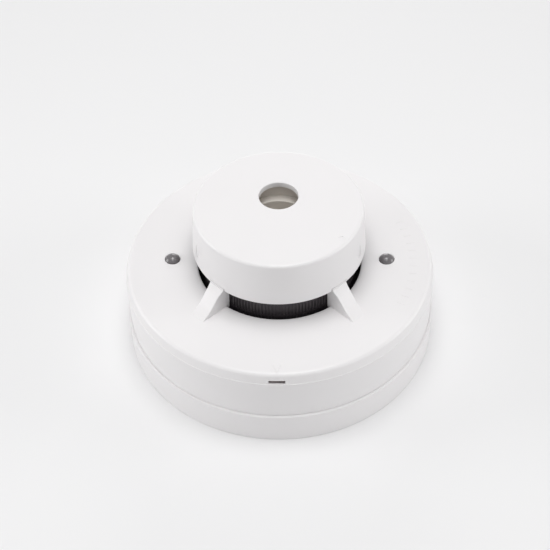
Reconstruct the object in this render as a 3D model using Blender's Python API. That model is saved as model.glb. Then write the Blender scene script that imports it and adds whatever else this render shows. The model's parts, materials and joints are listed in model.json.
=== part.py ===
"""Ceiling heat detector: a twist-on sensing head with a raised thermistor cap, on a round base.

Metres, +Z towards the room. The origin is the middle of the base's mounting face, and the side
with the tool slot faces -Y.
"""

import math

import bmesh
import bpy
from mathutils import Matrix, Vector

MM = 0.001

# Clearances
GAP = 0.3 * MM               # between pieces that touch
RUN_GAP = 0.4 * MM           # between pieces that turn past each other
SCREW_GAP = 0.3 * MM         # round a screw's shank

# Mounting base
BASE_RADIUS = 51.0 * MM
BASE_HEIGHT = 11.3 * MM
BASE_WALL = 2.0 * MM
BASE_FLOOR = 2.4 * MM
BASE_FOOT_CHAMFER = 0.8 * MM
BASE_TOP_BEVEL = 0.7 * MM
CABLE_ENTRY_RADIUS = 12.0 * MM
CABLE_COLLAR_WALL = 1.5 * MM
CABLE_COLLAR_HEIGHT = 1.8 * MM
FIXING_SLOT_PITCH_RADIUS = 26.5 * MM
FIXING_SLOT_LENGTH = 9.0 * MM
FIXING_SLOT_WIDTH = 4.2 * MM
LATCH_GROOVE_DEPTH = 1.2 * MM

# Terminals
TERMINAL_ANGLES = (45, 135, 225, 315)
TERMINAL_RADIUS = 31.5 * MM
BOSS_LENGTH = 9.0 * MM
BOSS_WIDTH = 9.0 * MM
BOSS_HEIGHT = 1.4 * MM
CONTACT_THICKNESS = 0.6 * MM
CONTACT_WIDTH = 6.0 * MM
CONTACT_RISE = 2.9 * MM
CLAMP_SIDE = 6.6 * MM
CLAMP_THICKNESS = 0.8 * MM
TERMINAL_HEAD_RADIUS = 2.8 * MM
TERMINAL_HEAD_HEIGHT = 1.7 * MM
TERMINAL_SHANK_RADIUS = 1.5 * MM
TERMINAL_SHANK_LENGTH = 5.2 * MM

# Bayonet between head and base
BAYONET_ANGLES = (90, 210, 330)
LEDGE_SPAN = 22
LEDGE_REACH = 2.6 * MM
LEDGE_HEIGHT = 1.8 * MM
LUG_SPAN = 16
LUG_HEIGHT = 2.2 * MM
LUG_LIFT = 2.2 * MM          # lugs above the base's floor
RELEASE_ANGLE = 15

# Detector head
SEAM = 0.3 * MM              # dark line between base and head
HEAD_INSET = 0.3 * MM        # the base stands this much proud of the head
HEAD_HEIGHT = 18.2 * MM
HEAD_WALL = 2.0 * MM
HEAD_ROOF = 1.6 * MM
SHOULDER_DROP = 3.3 * MM
SHOULDER_RUN = 1.5 * MM
SHOULDER_CORNER = 1.2 * MM
INNER_CORNER = 0.4 * MM
DISH_RADIUS = 36.5 * MM
DISH_DEPTH = 0.6 * MM
LIP_INSET = 1.1 * MM         # dish's lip inside the cap's rim
LIP_CHAMFER = 0.3 * MM
SKIRT_WALL = 1.8 * MM
PLATE_THICKNESS = 1.8 * MM
PLATE_RIM_GAP = 0.4 * MM

# Struts and cap
STRUT_ANGLES = (47, 133, 227, 313)
STRUT_TOP_WIDTH = 5.8 * MM
STRUT_FOOT_WIDTH = 5.2 * MM
STRUT_DEPTH = 2.4 * MM
STRUT_TAB_FOOT = 0.15 * MM    # above the cap's rim
STRUT_SHOULDER_RUN = 2.0 * MM
STRUT_SHOULDER_DROP = 1.3 * MM
STRUT_TOE_RUN = 5.4 * MM
STRUT_TOE_HEIGHT = 2.2 * MM
CAP_LIFT = 7.2 * MM          # rim above the top ring
CAP_HEIGHT = 15.3 * MM
CAP_RIM_RADIUS = 27.7 * MM
CAP_DRAFT = 1.0 * MM
CAP_WALL = 1.6 * MM
CAP_ROOF = 1.8 * MM
CAP_EDGE_RADIUS = 1.3 * MM
CAP_HOLE_RADIUS = 6.2 * MM
CAP_HOLE_OFFSET = 4.7 * MM   # towards the back
CAP_NOTCH_HEIGHT = 1.2 * MM
CAP_NOTCH_GAP = 0.45 * MM
DIMPLE_BEARING = 67
DIMPLE_HEIGHT = 5.4 * MM
DIMPLE_WIDTH = 2.6 * MM
DIMPLE_DEPTH = 0.4 * MM
DIMPLE_LIFT = 6.1 * MM       # middle of the dimple above the rim

# Tool slot and lock latch
SLOT_WIDTH = 5.0 * MM
SLOT_HEIGHT = 1.4 * MM
SLOT_DROP = 2.3 * MM         # middle of the slot below the top ring
LATCH_WIDTH = 7.0 * MM
LATCH_THICKNESS = 1.2 * MM
LATCH_TOOTH_WIDTH = 5.0 * MM
LATCH_TOOTH_HEIGHT = 1.8 * MM
LATCH_BITE = 0.9 * MM
LATCH_TRAVEL = 1.5 * MM
LATCH_DROP = 3.4 * MM        # latch's foot below the base's rim
LATCH_CHEEK = 1.4 * MM
LATCH_CHEEK_REACH = 4.0 * MM
LATCH_NOTCH_MARGIN = 3.0 * MM  # board's edge beside the latch
SPRING_RADIUS = 1.7 * MM
SPRING_WIRE = 0.4 * MM
SPRING_TURNS = 5
SPRING_LENGTH = 4.6 * MM
SPRING_PEG_RADIUS = 0.9 * MM
SPRING_PEG_LENGTH = 1.2 * MM
SPRING_LIFT = 10.9 * MM      # spring's axis above the head's foot
SPRING_WALL = 1.5 * MM
SPRING_WALL_RISE = 0.8 * MM  # its wall above the spring

# Circuit board and what is on it
PCB_RIM_GAP = 5.3 * MM       # board's edge to the cover's bore
PCB_THICKNESS = 1.6 * MM
POST_RADIUS = 3.0 * MM
POST_HEIGHT = 2.7 * MM
POST_PITCH_RADIUS = 38.0 * MM
POST_ANGLES = (90, 210, 330)
PCB_SCREW_RADIUS = 1.1 * MM
PCB_SCREW_LENGTH = 3.6 * MM
PCB_SCREW_HEAD_RADIUS = 2.3 * MM
PCB_SCREW_HEAD_HEIGHT = 1.4 * MM
BLADE_THICKNESS = 0.6 * MM
BLADE_WIDTH = 5.0 * MM
BLADE_RADIUS = 38.8 * MM
BLADE_FOOT = 4.2 * MM
ARM_ANGLES = (25, 155, 205, 335)
ARM_SPAN = 7
ARM_THICKNESS = 1.2 * MM
ARM_LEDGE_LIFT = 6.0 * MM    # cover's snap ledge above its foot
ARM_LEDGE_HEIGHT = 1.5 * MM
ARM_LEDGE_REACH = 1.4 * MM
ARM_NIB_HEIGHT = 1.6 * MM
CHIP_PLACE = (14.0 * MM, -29.0 * MM)
CHIP_SIZE = (7.0 * MM, 7.0 * MM, 1.4 * MM)
SHIELD_PLACE = (-13.0 * MM, 30.0 * MM)
SHIELD_SIZE = (10.0 * MM, 8.0 * MM, 3.0 * MM)
CAPACITOR_PLACE = (13.0 * MM, 30.0 * MM)
CAPACITOR_RADIUS = 3.1 * MM
CAPACITOR_HEIGHT = 5.8 * MM
CAPACITOR_CRIMP = 1.1 * MM   # crimped groove above the board
CAPACITOR_EDGE = 0.4 * MM
REED_PLACE = (-17.0 * MM, -29.0 * MM)
REED_RADIUS = 1.1 * MM
REED_LENGTH = 11.0 * MM
REED_TAPER = 0.6 * MM
REED_LEAD_RADIUS = 0.3 * MM
REED_LEAD_LENGTH = 2.5 * MM
LED_BEARING = 88.6
LED_RADIUS = 34.8 * MM
LED_SIZE = (3.2 * MM, 2.8 * MM, 1.9 * MM)
PIPE_RADIUS = 2.4 * MM
PIPE_GAP = 0.15 * MM
PIPE_STEM_RADIUS = 2.0 * MM
PIPE_FLANGE_RADIUS = 3.6 * MM
PIPE_FLANGE = 1.0 * MM
PIPE_DOME = 1.4 * MM

# Optical chamber, screen and thermistor
CHAMBER_INSET = 0.6 * MM     # chamber inside the screen
CHAMBER_FLOOR = 2.3 * MM
CHAMBER_DROP = 4.0 * MM      # chamber's top below the carrier's disc
CHAMBER_ROOF = 1.6 * MM
VANE_COUNT = 16
VANE_LENGTH = 5.4 * MM
VANE_THICKNESS = 0.9 * MM
VANE_TURN = 38
OPTIC_ANGLES = {"ir_emitter": 200, "photodiode": 320}
OPTIC_RADIUS = 2.5 * MM
OPTIC_LENGTH = 7.6 * MM
OPTIC_INSET = 11.3 * MM      # middle of an optic inside the chamber's rim
OPTIC_HEIGHT = 4.4 * MM      # optical axis above the chamber's floor
OPTIC_BLOCK = (7.0 * MM, 8.0 * MM, 7.8 * MM)
LEAD_WIDTH = 0.5 * MM
LEAD_SPREAD = 1.27 * MM
SCREEN_WALL = 0.8 * MM
SCREEN_WINDOWS = 26
SCREEN_ROWS = 2
SCREEN_BAND = 1.4 * MM
SCREEN_SOLID_FOOT = 5.0 * MM
CARRIER_OVERHANG = 0.2 * MM  # carrier's disc beyond the screen
CARRIER_DISC = 1.5 * MM
CARRIER_LIFT = 5.0 * MM      # carrier's disc above the cap's rim
COLLAR_BORE = 9.6 * MM
COLLAR_RADIUS = 12.4 * MM
CHIMNEY_WALL = 1.2 * MM        # round the collar, up to the cap's ceiling
COLLAR_RISE = 2.1 * MM
COLLAR_EDGE = 0.4 * MM
WELL_WALL = 1.3 * MM
WELL_FLOOR = 1.2 * MM
RISER_RADIUS = 2.2 * MM
RISER_BORE = 1.4 * MM
BEAD_RADIUS = 1.3 * MM
BEAD_LIFT = 1.9 * MM         # middle of the bead above the carrier's underside
WIRE_RADIUS = 0.3 * MM
WIRE_SPREAD = 0.55 * MM

# Faceting
ROUND = 64
ROUND_INNER = 48
ROUND_SMALL = 20
STADIUM_STEPS = 7            # odd, so that no corner stands at a slot's tip
CUT_THROUGH = 1.0 * MM       # how far a cutter runs past the faces that it cuts
WELD = 1e-7

# Heights that follow from the sizes above
HEAD_RADIUS = BASE_RADIUS - HEAD_INSET
HEAD_FOOT = BASE_HEIGHT + SEAM
HEAD_TOP = HEAD_FOOT + HEAD_HEIGHT
BASE_BORE = BASE_RADIUS - BASE_WALL
LEDGE_BORE = BASE_BORE - LEDGE_REACH
SKIRT_RADIUS = LEDGE_BORE - RUN_GAP
LUG_RADIUS = BASE_BORE - RUN_GAP
LUG_UNDERSIDE = BASE_FLOOR + LUG_LIFT
LEDGE_UNDERSIDE = LUG_UNDERSIDE + LUG_HEIGHT + GAP
PLATE_TOP = HEAD_FOOT + PLATE_THICKNESS
HEAD_BORE = HEAD_RADIUS - HEAD_WALL
PLATE_RADIUS = HEAD_BORE - PLATE_RIM_GAP
PCB_FOOT = PLATE_TOP + POST_HEIGHT + GAP
PCB_TOP = PCB_FOOT + PCB_THICKNESS
ON_BOARD = PCB_TOP + GAP
CONTACT_FOOT = BASE_FLOOR + BOSS_HEIGHT + GAP
CONTACT_TOP = CONTACT_FOOT + CONTACT_THICKNESS + CONTACT_RISE
BLADE_LEVEL = CONTACT_TOP + GAP
CAP_RIM = HEAD_TOP + CAP_LIFT
CAP_TOP = CAP_RIM + CAP_HEIGHT
LIP_RADIUS = CAP_RIM_RADIUS - LIP_INSET
SCREEN_RADIUS = CAP_RIM_RADIUS - STRUT_DEPTH - GAP
CARRIER_RADIUS = SCREEN_RADIUS + CARRIER_OVERHANG
CARRIER_LEVEL = CAP_RIM + CARRIER_LIFT
CHAMBER_RADIUS = SCREEN_RADIUS - SCREEN_WALL - CHAMBER_INSET
CHAMBER_DECK = ON_BOARD + CHAMBER_FLOOR
CHAMBER_TOP = CARRIER_LEVEL - CHAMBER_DROP
OPTIC_PITCH_RADIUS = CHAMBER_RADIUS - OPTIC_INSET
BEAD_LEVEL = CARRIER_LEVEL + BEAD_LIFT
PCB_RADIUS = HEAD_BORE - PCB_RIM_GAP
LATCH_FACE = HEAD_BORE - GAP
LATCH_FOOT = BASE_HEIGHT - LATCH_DROP
LATCH_TOP = HEAD_TOP - HEAD_ROOF - INNER_CORNER
SPRING_LEVEL = HEAD_FOOT + SPRING_LIFT


def finish(name, bm, parent=None):
    """Turns a bmesh into an object, shaded smooth up to its real edges."""
    bmesh.ops.remove_doubles(bm, verts=bm.verts, dist=WELD)
    bmesh.ops.recalc_face_normals(bm, faces=bm.faces)
    mesh = bpy.data.meshes.new(name)
    bm.to_mesh(mesh)
    bm.free()
    mesh.shade_smooth()
    mesh.set_sharp_from_angle(angle=math.radians(32))
    obj = bpy.data.objects.new(name, mesh)
    bpy.context.scene.collection.objects.link(obj)
    if parent:
        obj.parent = parent
        obj.matrix_parent_inverse = parent.matrix_world.inverted()
    return obj


def material(name, color, roughness, metallic=0.0):
    made = bpy.data.materials.new(name)
    made.use_nodes = True
    shader = made.node_tree.nodes["Principled BSDF"]
    shader.inputs["Base Color"].default_value = (*color, 1.0)
    shader.inputs["Roughness"].default_value = roughness
    shader.inputs["Metallic"].default_value = metallic
    made.diffuse_color = (*color, 1.0)
    return made


def paint(obj, made):
    obj.data.materials.clear()
    obj.data.materials.append(made)
    return obj


def turned(profile, steps=ROUND, closed=True, center=(0, 0)):
    """A bmesh turned about a vertical axis through center, from (radius, height) points.

    Away from the middle its facets face the axes, so that its corners miss the radial edges of what
    it joins.
    """
    bm = bmesh.new()
    verts = [bm.verts.new((radius, 0, height)) for radius, height in profile]
    pairs = list(zip(verts, verts[1:]))
    if closed:
        pairs.append((verts[-1], verts[0]))
    edges = [bm.edges.new(pair) for pair in pairs]
    bmesh.ops.spin(
        bm, geom=verts + edges, cent=(0, 0, 0), axis=(0, 0, 1), dvec=(0, 0, 0),
        angle=math.tau, steps=steps, use_merge=True, use_duplicate=False,
    )
    bmesh.ops.remove_doubles(bm, verts=bm.verts, dist=WELD)
    if any(center):
        turn(bm, 180 / steps)
        bmesh.ops.translate(bm, verts=bm.verts, vec=(*center, 0))
    return bm


def sector(inner, outer, low, high, start, end, steps):
    """A bmesh of a ring's piece between two angles, in degrees."""
    bm = bmesh.new()
    corners = ((inner, low), (outer, low), (outer, high), (inner, high))
    verts = [bm.verts.new((radius, 0, height)) for radius, height in corners]
    face = bm.faces.new(verts)
    bmesh.ops.spin(
        bm, geom=verts + face.edges[:] + [face], cent=(0, 0, 0), axis=(0, 0, 1), dvec=(0, 0, 0),
        angle=math.radians(end - start), steps=steps, use_merge=False, use_duplicate=False,
    )
    turn(bm, start)
    return bm


def block(center, size, degrees=0):
    """A bmesh box, turned about the part's own axis after it is placed."""
    bm = bmesh.new()
    bmesh.ops.create_cube(bm, size=1.0)
    bmesh.ops.scale(bm, verts=bm.verts, vec=size)
    bmesh.ops.translate(bm, verts=bm.verts, vec=center)
    turn(bm, degrees)
    return bm


def rod(center, radius, low, high, steps=ROUND_SMALL):
    """A bmesh cylinder standing at center, from low to high, its facets facing the axes."""
    bm = bmesh.new()
    bmesh.ops.create_cone(
        bm, cap_ends=True, cap_tris=False, segments=steps, radius1=radius, radius2=radius,
        depth=high - low,
    )
    turn(bm, 180 / steps)
    bmesh.ops.translate(bm, verts=bm.verts, vec=(*center, (low + high) / 2))
    return bm


def extrude(bm, outline, offset):
    """Closes an outline of vertices with a face and draws it out by offset."""
    raised = bmesh.ops.extrude_face_region(bm, geom=[bm.faces.new(outline)])["geom"]
    far = [item for item in raised if isinstance(item, bmesh.types.BMVert)]
    bmesh.ops.translate(bm, verts=far, vec=offset)


def stadium(center, length, width, low, high, degrees=0):
    """A bmesh slot with round ends, running along X before it is turned about the part's axis."""
    bm = bmesh.new()
    half = (length - width) / 2
    outline = []
    for side, first in ((1, -90), (-1, 90)):
        for step in range(STADIUM_STEPS + 1):
            angle = math.radians(first + step * 180 / STADIUM_STEPS)
            outline.append((
                center[0] + side * half + width / 2 * math.cos(angle),
                center[1] + width / 2 * math.sin(angle),
                low,
            ))
    extrude(bm, [bm.verts.new(point) for point in outline], (0, 0, high - low))
    turn(bm, degrees)
    return bm


def plate(outline, width, degrees=0):
    """A bmesh extruded along Y by width from an outline of (radius, height) points, then turned."""
    bm = bmesh.new()
    extrude(bm, [bm.verts.new((radius, -width / 2, height)) for radius, height in outline], (0, width, 0))
    turn(bm, degrees)
    return bm


def strip_outline(line, thickness):
    """The outline of a bent strip of even thickness about a centre line of (radius, height) points."""
    points = [Vector(point) for point in line]
    left, right = [], []
    for index, point in enumerate(points):
        before = (point - points[index - 1]).normalized() if index else None
        after = (points[index + 1] - point).normalized() if index + 1 < len(points) else None
        along = ((before or after) + (after or before)).normalized()
        normal = Vector((-along.y, along.x))
        lean = normal.dot(Vector((-(before or after).y, (before or after).x)))
        offset = normal * (thickness / 2 / lean)
        left.append(point + offset)
        right.append(point - offset)
    return [tuple(point) for point in left + right[::-1]]


def turn(bm, degrees):
    if degrees:
        bmesh.ops.rotate(
            bm, verts=bm.verts, cent=(0, 0, 0), matrix=Matrix.Rotation(math.radians(degrees), 3, "Z")
        )


def merged(parts):
    """One bmesh that holds several closed shapes side by side."""
    whole = bmesh.new()
    for part in parts:
        scratch = bpy.data.meshes.new("scratch")
        bmesh.ops.recalc_face_normals(part, faces=part.faces)
        part.to_mesh(scratch)
        part.free()
        whole.from_mesh(scratch)
        bpy.data.meshes.remove(scratch)
    return whole


def combine(obj, parts, operation, label):
    """Adds or cuts shapes with a Boolean, whose tool stays hidden beside the piece."""
    tool = finish(f"{obj.name}_{label}", merged(parts), obj.parent)
    tool.hide_render = True
    tool.display_type = "WIRE"
    modifier = obj.modifiers.new(label, "BOOLEAN")
    modifier.operation = operation
    modifier.object = tool
    modifier.solver = "EXACT"
    return obj


def add(obj, parts, label):
    return combine(obj, parts, "UNION", label)


def cut(obj, parts, label):
    return combine(obj, parts, "DIFFERENCE", label)


def polar(radius, degrees):
    angle = math.radians(degrees)
    return (radius * math.cos(angle), radius * math.sin(angle))


def arc(center, radius, start, end, steps):
    """(radius, height) points along an arc of a turned profile, angles in degrees."""
    points = []
    for step in range(steps + 1):
        angle = math.radians(start + (end - start) * step / steps)
        points.append((center[0] + radius * math.cos(angle), center[1] + radius * math.sin(angle)))
    return points


# ---- mounting base ----

def make_mounting_base(made):
    collar_radius = CABLE_ENTRY_RADIUS + CABLE_COLLAR_WALL
    collar_top = BASE_FLOOR + CABLE_COLLAR_HEIGHT
    base = finish("mounting_base", turned([
        (CABLE_ENTRY_RADIUS, 0),
        (BASE_RADIUS - BASE_FOOT_CHAMFER, 0),
        (BASE_RADIUS, BASE_FOOT_CHAMFER),
        (BASE_RADIUS, BASE_HEIGHT - BASE_TOP_BEVEL),
        (BASE_RADIUS - BASE_TOP_BEVEL, BASE_HEIGHT),
        (BASE_BORE, BASE_HEIGHT),
        (BASE_BORE, BASE_FLOOR),
        (collar_radius, BASE_FLOOR),
        (collar_radius, collar_top),
        (CABLE_ENTRY_RADIUS, collar_top),
    ]))
    sunk = BASE_FLOOR / 2
    boss_middle = (sunk + BASE_FLOOR + BOSS_HEIGHT) / 2
    boss_size = (BOSS_LENGTH, BOSS_WIDTH, BASE_FLOOR + BOSS_HEIGHT - sunk)
    add(base, [
        block((TERMINAL_RADIUS, 0, boss_middle), boss_size, angle)
        for angle in TERMINAL_ANGLES
    ], "bosses")
    add(base, [
        sector(LEDGE_BORE, BASE_BORE + BASE_WALL / 2, LEDGE_UNDERSIDE, LEDGE_UNDERSIDE + LEDGE_HEIGHT,
               angle - LEDGE_SPAN / 2, angle + LEDGE_SPAN / 2, 6)
        for angle in BAYONET_ANGLES
    ], "ledges")
    cut(base, [
        stadium((FIXING_SLOT_PITCH_RADIUS, 0), FIXING_SLOT_LENGTH, FIXING_SLOT_WIDTH,
                -CUT_THROUGH, BASE_FLOOR + CUT_THROUGH, angle)
        for angle in (0, 90, 180, 270)
    ], "fixing_slots")
    pilot = TERMINAL_SHANK_RADIUS + SCREW_GAP
    pilot_low = terminal_head_underside() - TERMINAL_SHANK_LENGTH - GAP
    cut(base, [
        rod(polar(TERMINAL_RADIUS, angle), pilot, pilot_low, CONTACT_FOOT + CUT_THROUGH, 16)
        for angle in TERMINAL_ANGLES
    ], "pilot_holes")
    margin = math.degrees(LATCH_TOOTH_WIDTH / 2 / BASE_BORE) + 1
    cut(base, [
        sector(BASE_BORE - CUT_THROUGH, BASE_BORE + LATCH_GROOVE_DEPTH, LATCH_FOOT - RUN_GAP,
               LATCH_FOOT + LATCH_TOOTH_HEIGHT + RUN_GAP, -90 - margin,
               -90 + margin + RELEASE_ANGLE, 8)
    ], "latch_groove")
    return paint(base, made)


def terminal_head_underside():
    return CONTACT_FOOT + CONTACT_THICKNESS + GAP + CLAMP_THICKNESS + GAP


def make_terminal(number, angle, made):
    """One terminal: contact strip, wire clamp and screw."""
    radius = TERMINAL_RADIUS
    low = CONTACT_FOOT + CONTACT_THICKNESS / 2
    high = low + CONTACT_RISE
    blade_end = BLADE_RADIUS + BLADE_FOOT
    line = [
        (radius - CLAMP_SIDE / 2, low),
        (radius + CLAMP_SIDE / 2, low),
        (BLADE_RADIUS, high),
        (blade_end - CONTACT_WIDTH / 4, high),
        (blade_end, high - CONTACT_RISE / 4),
    ]
    strip = strip_outline(line, CONTACT_THICKNESS)
    contact = finish(f"base_contact_{number}", plate(strip, CONTACT_WIDTH, angle))
    hole = TERMINAL_SHANK_RADIUS + SCREW_GAP
    center = polar(radius, angle)
    cut(contact, [rod(center, hole, low - CUT_THROUGH, low + CUT_THROUGH, 16)], "screw_hole")
    paint(contact, made["brass"])

    clamp_low = CONTACT_FOOT + CONTACT_THICKNESS + GAP
    clamp_top = clamp_low + CLAMP_THICKNESS
    clamp = finish(f"wire_clamp_{number}", block(
        (radius, 0, (clamp_low + clamp_top) / 2), (CLAMP_SIDE, CLAMP_SIDE, CLAMP_THICKNESS), angle))
    cut(clamp, [rod(center, hole, clamp_low - CUT_THROUGH, clamp_top + CUT_THROUGH, 16)], "screw_hole")
    paint(clamp, made["zinc"])

    head = terminal_head_underside()
    screw = cross_head_screw(
        f"terminal_screw_{number}", center, head, TERMINAL_HEAD_RADIUS, TERMINAL_HEAD_HEIGHT,
        TERMINAL_SHANK_RADIUS, TERMINAL_SHANK_LENGTH,
    )
    paint(screw, made["zinc"])


def cross_head_screw(
        name, center, underside, head_radius, head_height, shank_radius, shank_length, parent=None):
    edge = head_height / 3
    screw = finish(name, turned([
        (0, underside + head_height),
        (head_radius - edge, underside + head_height),
        (head_radius, underside + head_height - edge),
        (head_radius, underside),
        (shank_radius, underside),
        (shank_radius, underside - shank_length + shank_radius / 2),
        (shank_radius / 2, underside - shank_length),
        (0, underside - shank_length),
    ], 16, closed=False, center=center), parent)
    bar = (head_radius * 1.1, head_radius * 0.28, head_height)
    top = underside + head_height
    cross = []
    for size in (bar, (bar[1], bar[0], bar[2])):
        cross.append(block((*center, top), size))
    cut(screw, cross[:1], "cross_a")
    cut(screw, cross[1:], "cross_b")
    return screw


# ---- detector head ----

def make_head_body(made, pivot):
    body = finish("head_body", turned([
        (0, PLATE_TOP),
        (PLATE_RADIUS, PLATE_TOP),
        (PLATE_RADIUS, HEAD_FOOT),
        (SKIRT_RADIUS, HEAD_FOOT),
        (SKIRT_RADIUS, LUG_UNDERSIDE),
        (SKIRT_RADIUS - SKIRT_WALL, LUG_UNDERSIDE),
        (SKIRT_RADIUS - SKIRT_WALL, HEAD_FOOT),
        (0, HEAD_FOOT),
    ], closed=False), pivot)
    add(body, [
        sector(SKIRT_RADIUS - SKIRT_WALL / 2, LUG_RADIUS, LUG_UNDERSIDE, LUG_UNDERSIDE + LUG_HEIGHT,
               angle - LUG_SPAN / 2, angle + LUG_SPAN / 2, 4)
        for angle in BAYONET_ANGLES
    ], "lugs")
    sunk = PLATE_TOP - PLATE_THICKNESS / 2
    add(body, [
        rod(polar(POST_PITCH_RADIUS, angle), POST_RADIUS, sunk, PLATE_TOP + POST_HEIGHT)
        for angle in POST_ANGLES
    ], "posts")
    add(body, [make_snap_arm(angle) for angle in ARM_ANGLES], "snap_arms")
    add(body, make_latch_guides(sunk), "latch_guides")
    cut(body, [
        rod(polar(POST_PITCH_RADIUS, angle), PCB_SCREW_RADIUS + SCREW_GAP / 2, sunk,
            PLATE_TOP + POST_HEIGHT + CUT_THROUGH, 12)
        for angle in POST_ANGLES
    ], "post_holes")
    cut(body, blade_slots(HEAD_FOOT, PLATE_TOP), "blade_slots")
    opening = LATCH_THICKNESS + LATCH_TRAVEL + 2 * RUN_GAP
    cut(body, [block(
        (0, -LATCH_FACE + opening / 2 - RUN_GAP - CUT_THROUGH, (LUG_UNDERSIDE + PLATE_TOP) / 2),
        (LATCH_WIDTH + 2 * RUN_GAP, opening + 2 * CUT_THROUGH, PLATE_TOP - LUG_UNDERSIDE + 2 * CUT_THROUGH),
    )], "latch_opening")
    return paint(body, made)


def make_snap_arm(angle):
    """A snap arm that stands on the plate, its nib over the cover's ledge."""
    ledge_bore = HEAD_BORE - ARM_LEDGE_REACH
    outer = ledge_bore - GAP
    inner = outer - ARM_THICKNESS
    nib_low = HEAD_FOOT + ARM_LEDGE_LIFT + ARM_LEDGE_HEIGHT + GAP
    nib_high = nib_low + ARM_NIB_HEIGHT
    return plate([
        (inner, PLATE_TOP - PLATE_THICKNESS / 2),
        (outer, PLATE_TOP - PLATE_THICKNESS / 2),
        (outer, nib_low),
        (outer + ARM_LEDGE_REACH / 2 + GAP, nib_low),
        (outer, nib_high),
        (inner, nib_high),
    ], HEAD_BORE * math.radians(ARM_SPAN), angle)


def spring_seat():
    """Y of the face that the latch's spring pushes from."""
    return -LATCH_FACE + LATCH_THICKNESS + GAP + SPRING_LENGTH + GAP


def make_latch_guides(sunk):
    """Two cheeks beside the latch, and the wall behind its spring."""
    high = PCB_TOP + 2 * GAP
    parts = []
    for side in (-1, 1):
        x = side * (LATCH_WIDTH / 2 + RUN_GAP + LATCH_CHEEK / 2)
        y = -LATCH_FACE + LATCH_CHEEK_REACH / 2 + 2 * GAP
        parts.append(block((x, y, (sunk + high) / 2), (LATCH_CHEEK, LATCH_CHEEK_REACH, high - sunk)))
    wall_high = SPRING_LEVEL + SPRING_RADIUS + SPRING_WALL_RISE
    parts.append(block(
        (0, spring_seat() + SPRING_WALL / 2, (sunk + wall_high) / 2),
        (LATCH_WIDTH, SPRING_WALL, wall_high - sunk),
    ))
    return parts


def blade_slots(low, high):
    size = (BLADE_THICKNESS + 2 * GAP, BLADE_WIDTH + 2 * GAP, high - low + 2 * CUT_THROUGH)
    return [block((BLADE_RADIUS, 0, (low + high) / 2), size, angle) for angle in TERMINAL_ANGLES]


def make_contact_blade(number, angle, made, pivot):
    line = [
        (BLADE_RADIUS + BLADE_FOOT, BLADE_LEVEL + BLADE_THICKNESS / 2),
        (BLADE_RADIUS, BLADE_LEVEL + BLADE_THICKNESS / 2),
        (BLADE_RADIUS, PCB_TOP + BLADE_THICKNESS),
    ]
    blade = finish(
        f"contact_blade_{number}", plate(strip_outline(line, BLADE_THICKNESS), BLADE_WIDTH, angle), pivot)
    return paint(blade, made)


def make_pcb(made, pivot):
    board = finish("pcb", turned([
        (0, PCB_TOP), (PCB_RADIUS, PCB_TOP), (PCB_RADIUS, PCB_FOOT), (0, PCB_FOOT),
    ], closed=False), pivot)
    cut(board, blade_slots(PCB_FOOT, PCB_TOP), "blade_slots")
    cut(board, [
        rod(polar(POST_PITCH_RADIUS, angle), PCB_SCREW_RADIUS + SCREW_GAP, PCB_FOOT - CUT_THROUGH,
            PCB_TOP + CUT_THROUGH, 12)
        for angle in POST_ANGLES
    ], "screw_holes")
    edge = spring_seat() + SPRING_WALL + 2 * GAP
    cut(board, [block(
        (0, edge - PCB_RADIUS / 2, (PCB_FOOT + PCB_TOP) / 2),
        (LATCH_WIDTH + 2 * LATCH_NOTCH_MARGIN, PCB_RADIUS, PCB_THICKNESS + 2 * CUT_THROUGH),
    )], "latch_notch")
    return paint(board, made)


def on_board(place, size):
    return block((*place, ON_BOARD + size[2] / 2), size)


def make_board_parts(made, pivot):
    """The larger components on the board, and its screws."""
    chip = finish("microcontroller", on_board(CHIP_PLACE, CHIP_SIZE), pivot)
    paint(chip, made["black"])
    shield = finish("screening_can", on_board(SHIELD_PLACE, SHIELD_SIZE), pivot)
    paint(shield, made["tin"])

    top = ON_BOARD + CAPACITOR_HEIGHT
    crimp = ON_BOARD + CAPACITOR_CRIMP
    capacitor = finish("buffer_capacitor", turned([
        (0, top),
        (CAPACITOR_RADIUS - CAPACITOR_EDGE, top),
        (CAPACITOR_RADIUS, top - CAPACITOR_EDGE),
        (CAPACITOR_RADIUS, crimp + CAPACITOR_EDGE),
        (CAPACITOR_RADIUS - CAPACITOR_EDGE, crimp),
        (CAPACITOR_RADIUS, crimp - CAPACITOR_EDGE),
        (CAPACITOR_RADIUS, ON_BOARD),
        (0, ON_BOARD),
    ], ROUND_SMALL, closed=False, center=CAPACITOR_PLACE), pivot)
    paint(capacitor, made["aluminium"])

    half = REED_LENGTH / 2
    lead_end = half + REED_LEAD_LENGTH
    reed = turned([
        (0, lead_end), (REED_LEAD_RADIUS, lead_end), (REED_LEAD_RADIUS, half),
        (REED_RADIUS, half - REED_TAPER), (REED_RADIUS, REED_TAPER - half),
        (REED_LEAD_RADIUS, -half), (REED_LEAD_RADIUS, -lead_end), (0, -lead_end),
    ], 12, closed=False)
    bmesh.ops.rotate(reed, verts=reed.verts, matrix=Matrix.Rotation(math.radians(90), 3, "Y"))
    bmesh.ops.translate(reed, verts=reed.verts, vec=(*REED_PLACE, ON_BOARD + REED_RADIUS))
    paint(finish("reed_switch", reed, pivot), made["glass"])

    for number, angle in enumerate(POST_ANGLES, 1):
        screw = cross_head_screw(
            f"pcb_screw_{number}", polar(POST_PITCH_RADIUS, angle), ON_BOARD, PCB_SCREW_HEAD_RADIUS,
            PCB_SCREW_HEAD_HEIGHT, PCB_SCREW_RADIUS, PCB_SCREW_LENGTH, pivot,
        )
        paint(screw, made["zinc"])


def led_places():
    """Name and angle of each indicator, counted from the +X axis."""
    return (("right", LED_BEARING - 90), ("left", 270 - LED_BEARING))


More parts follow.
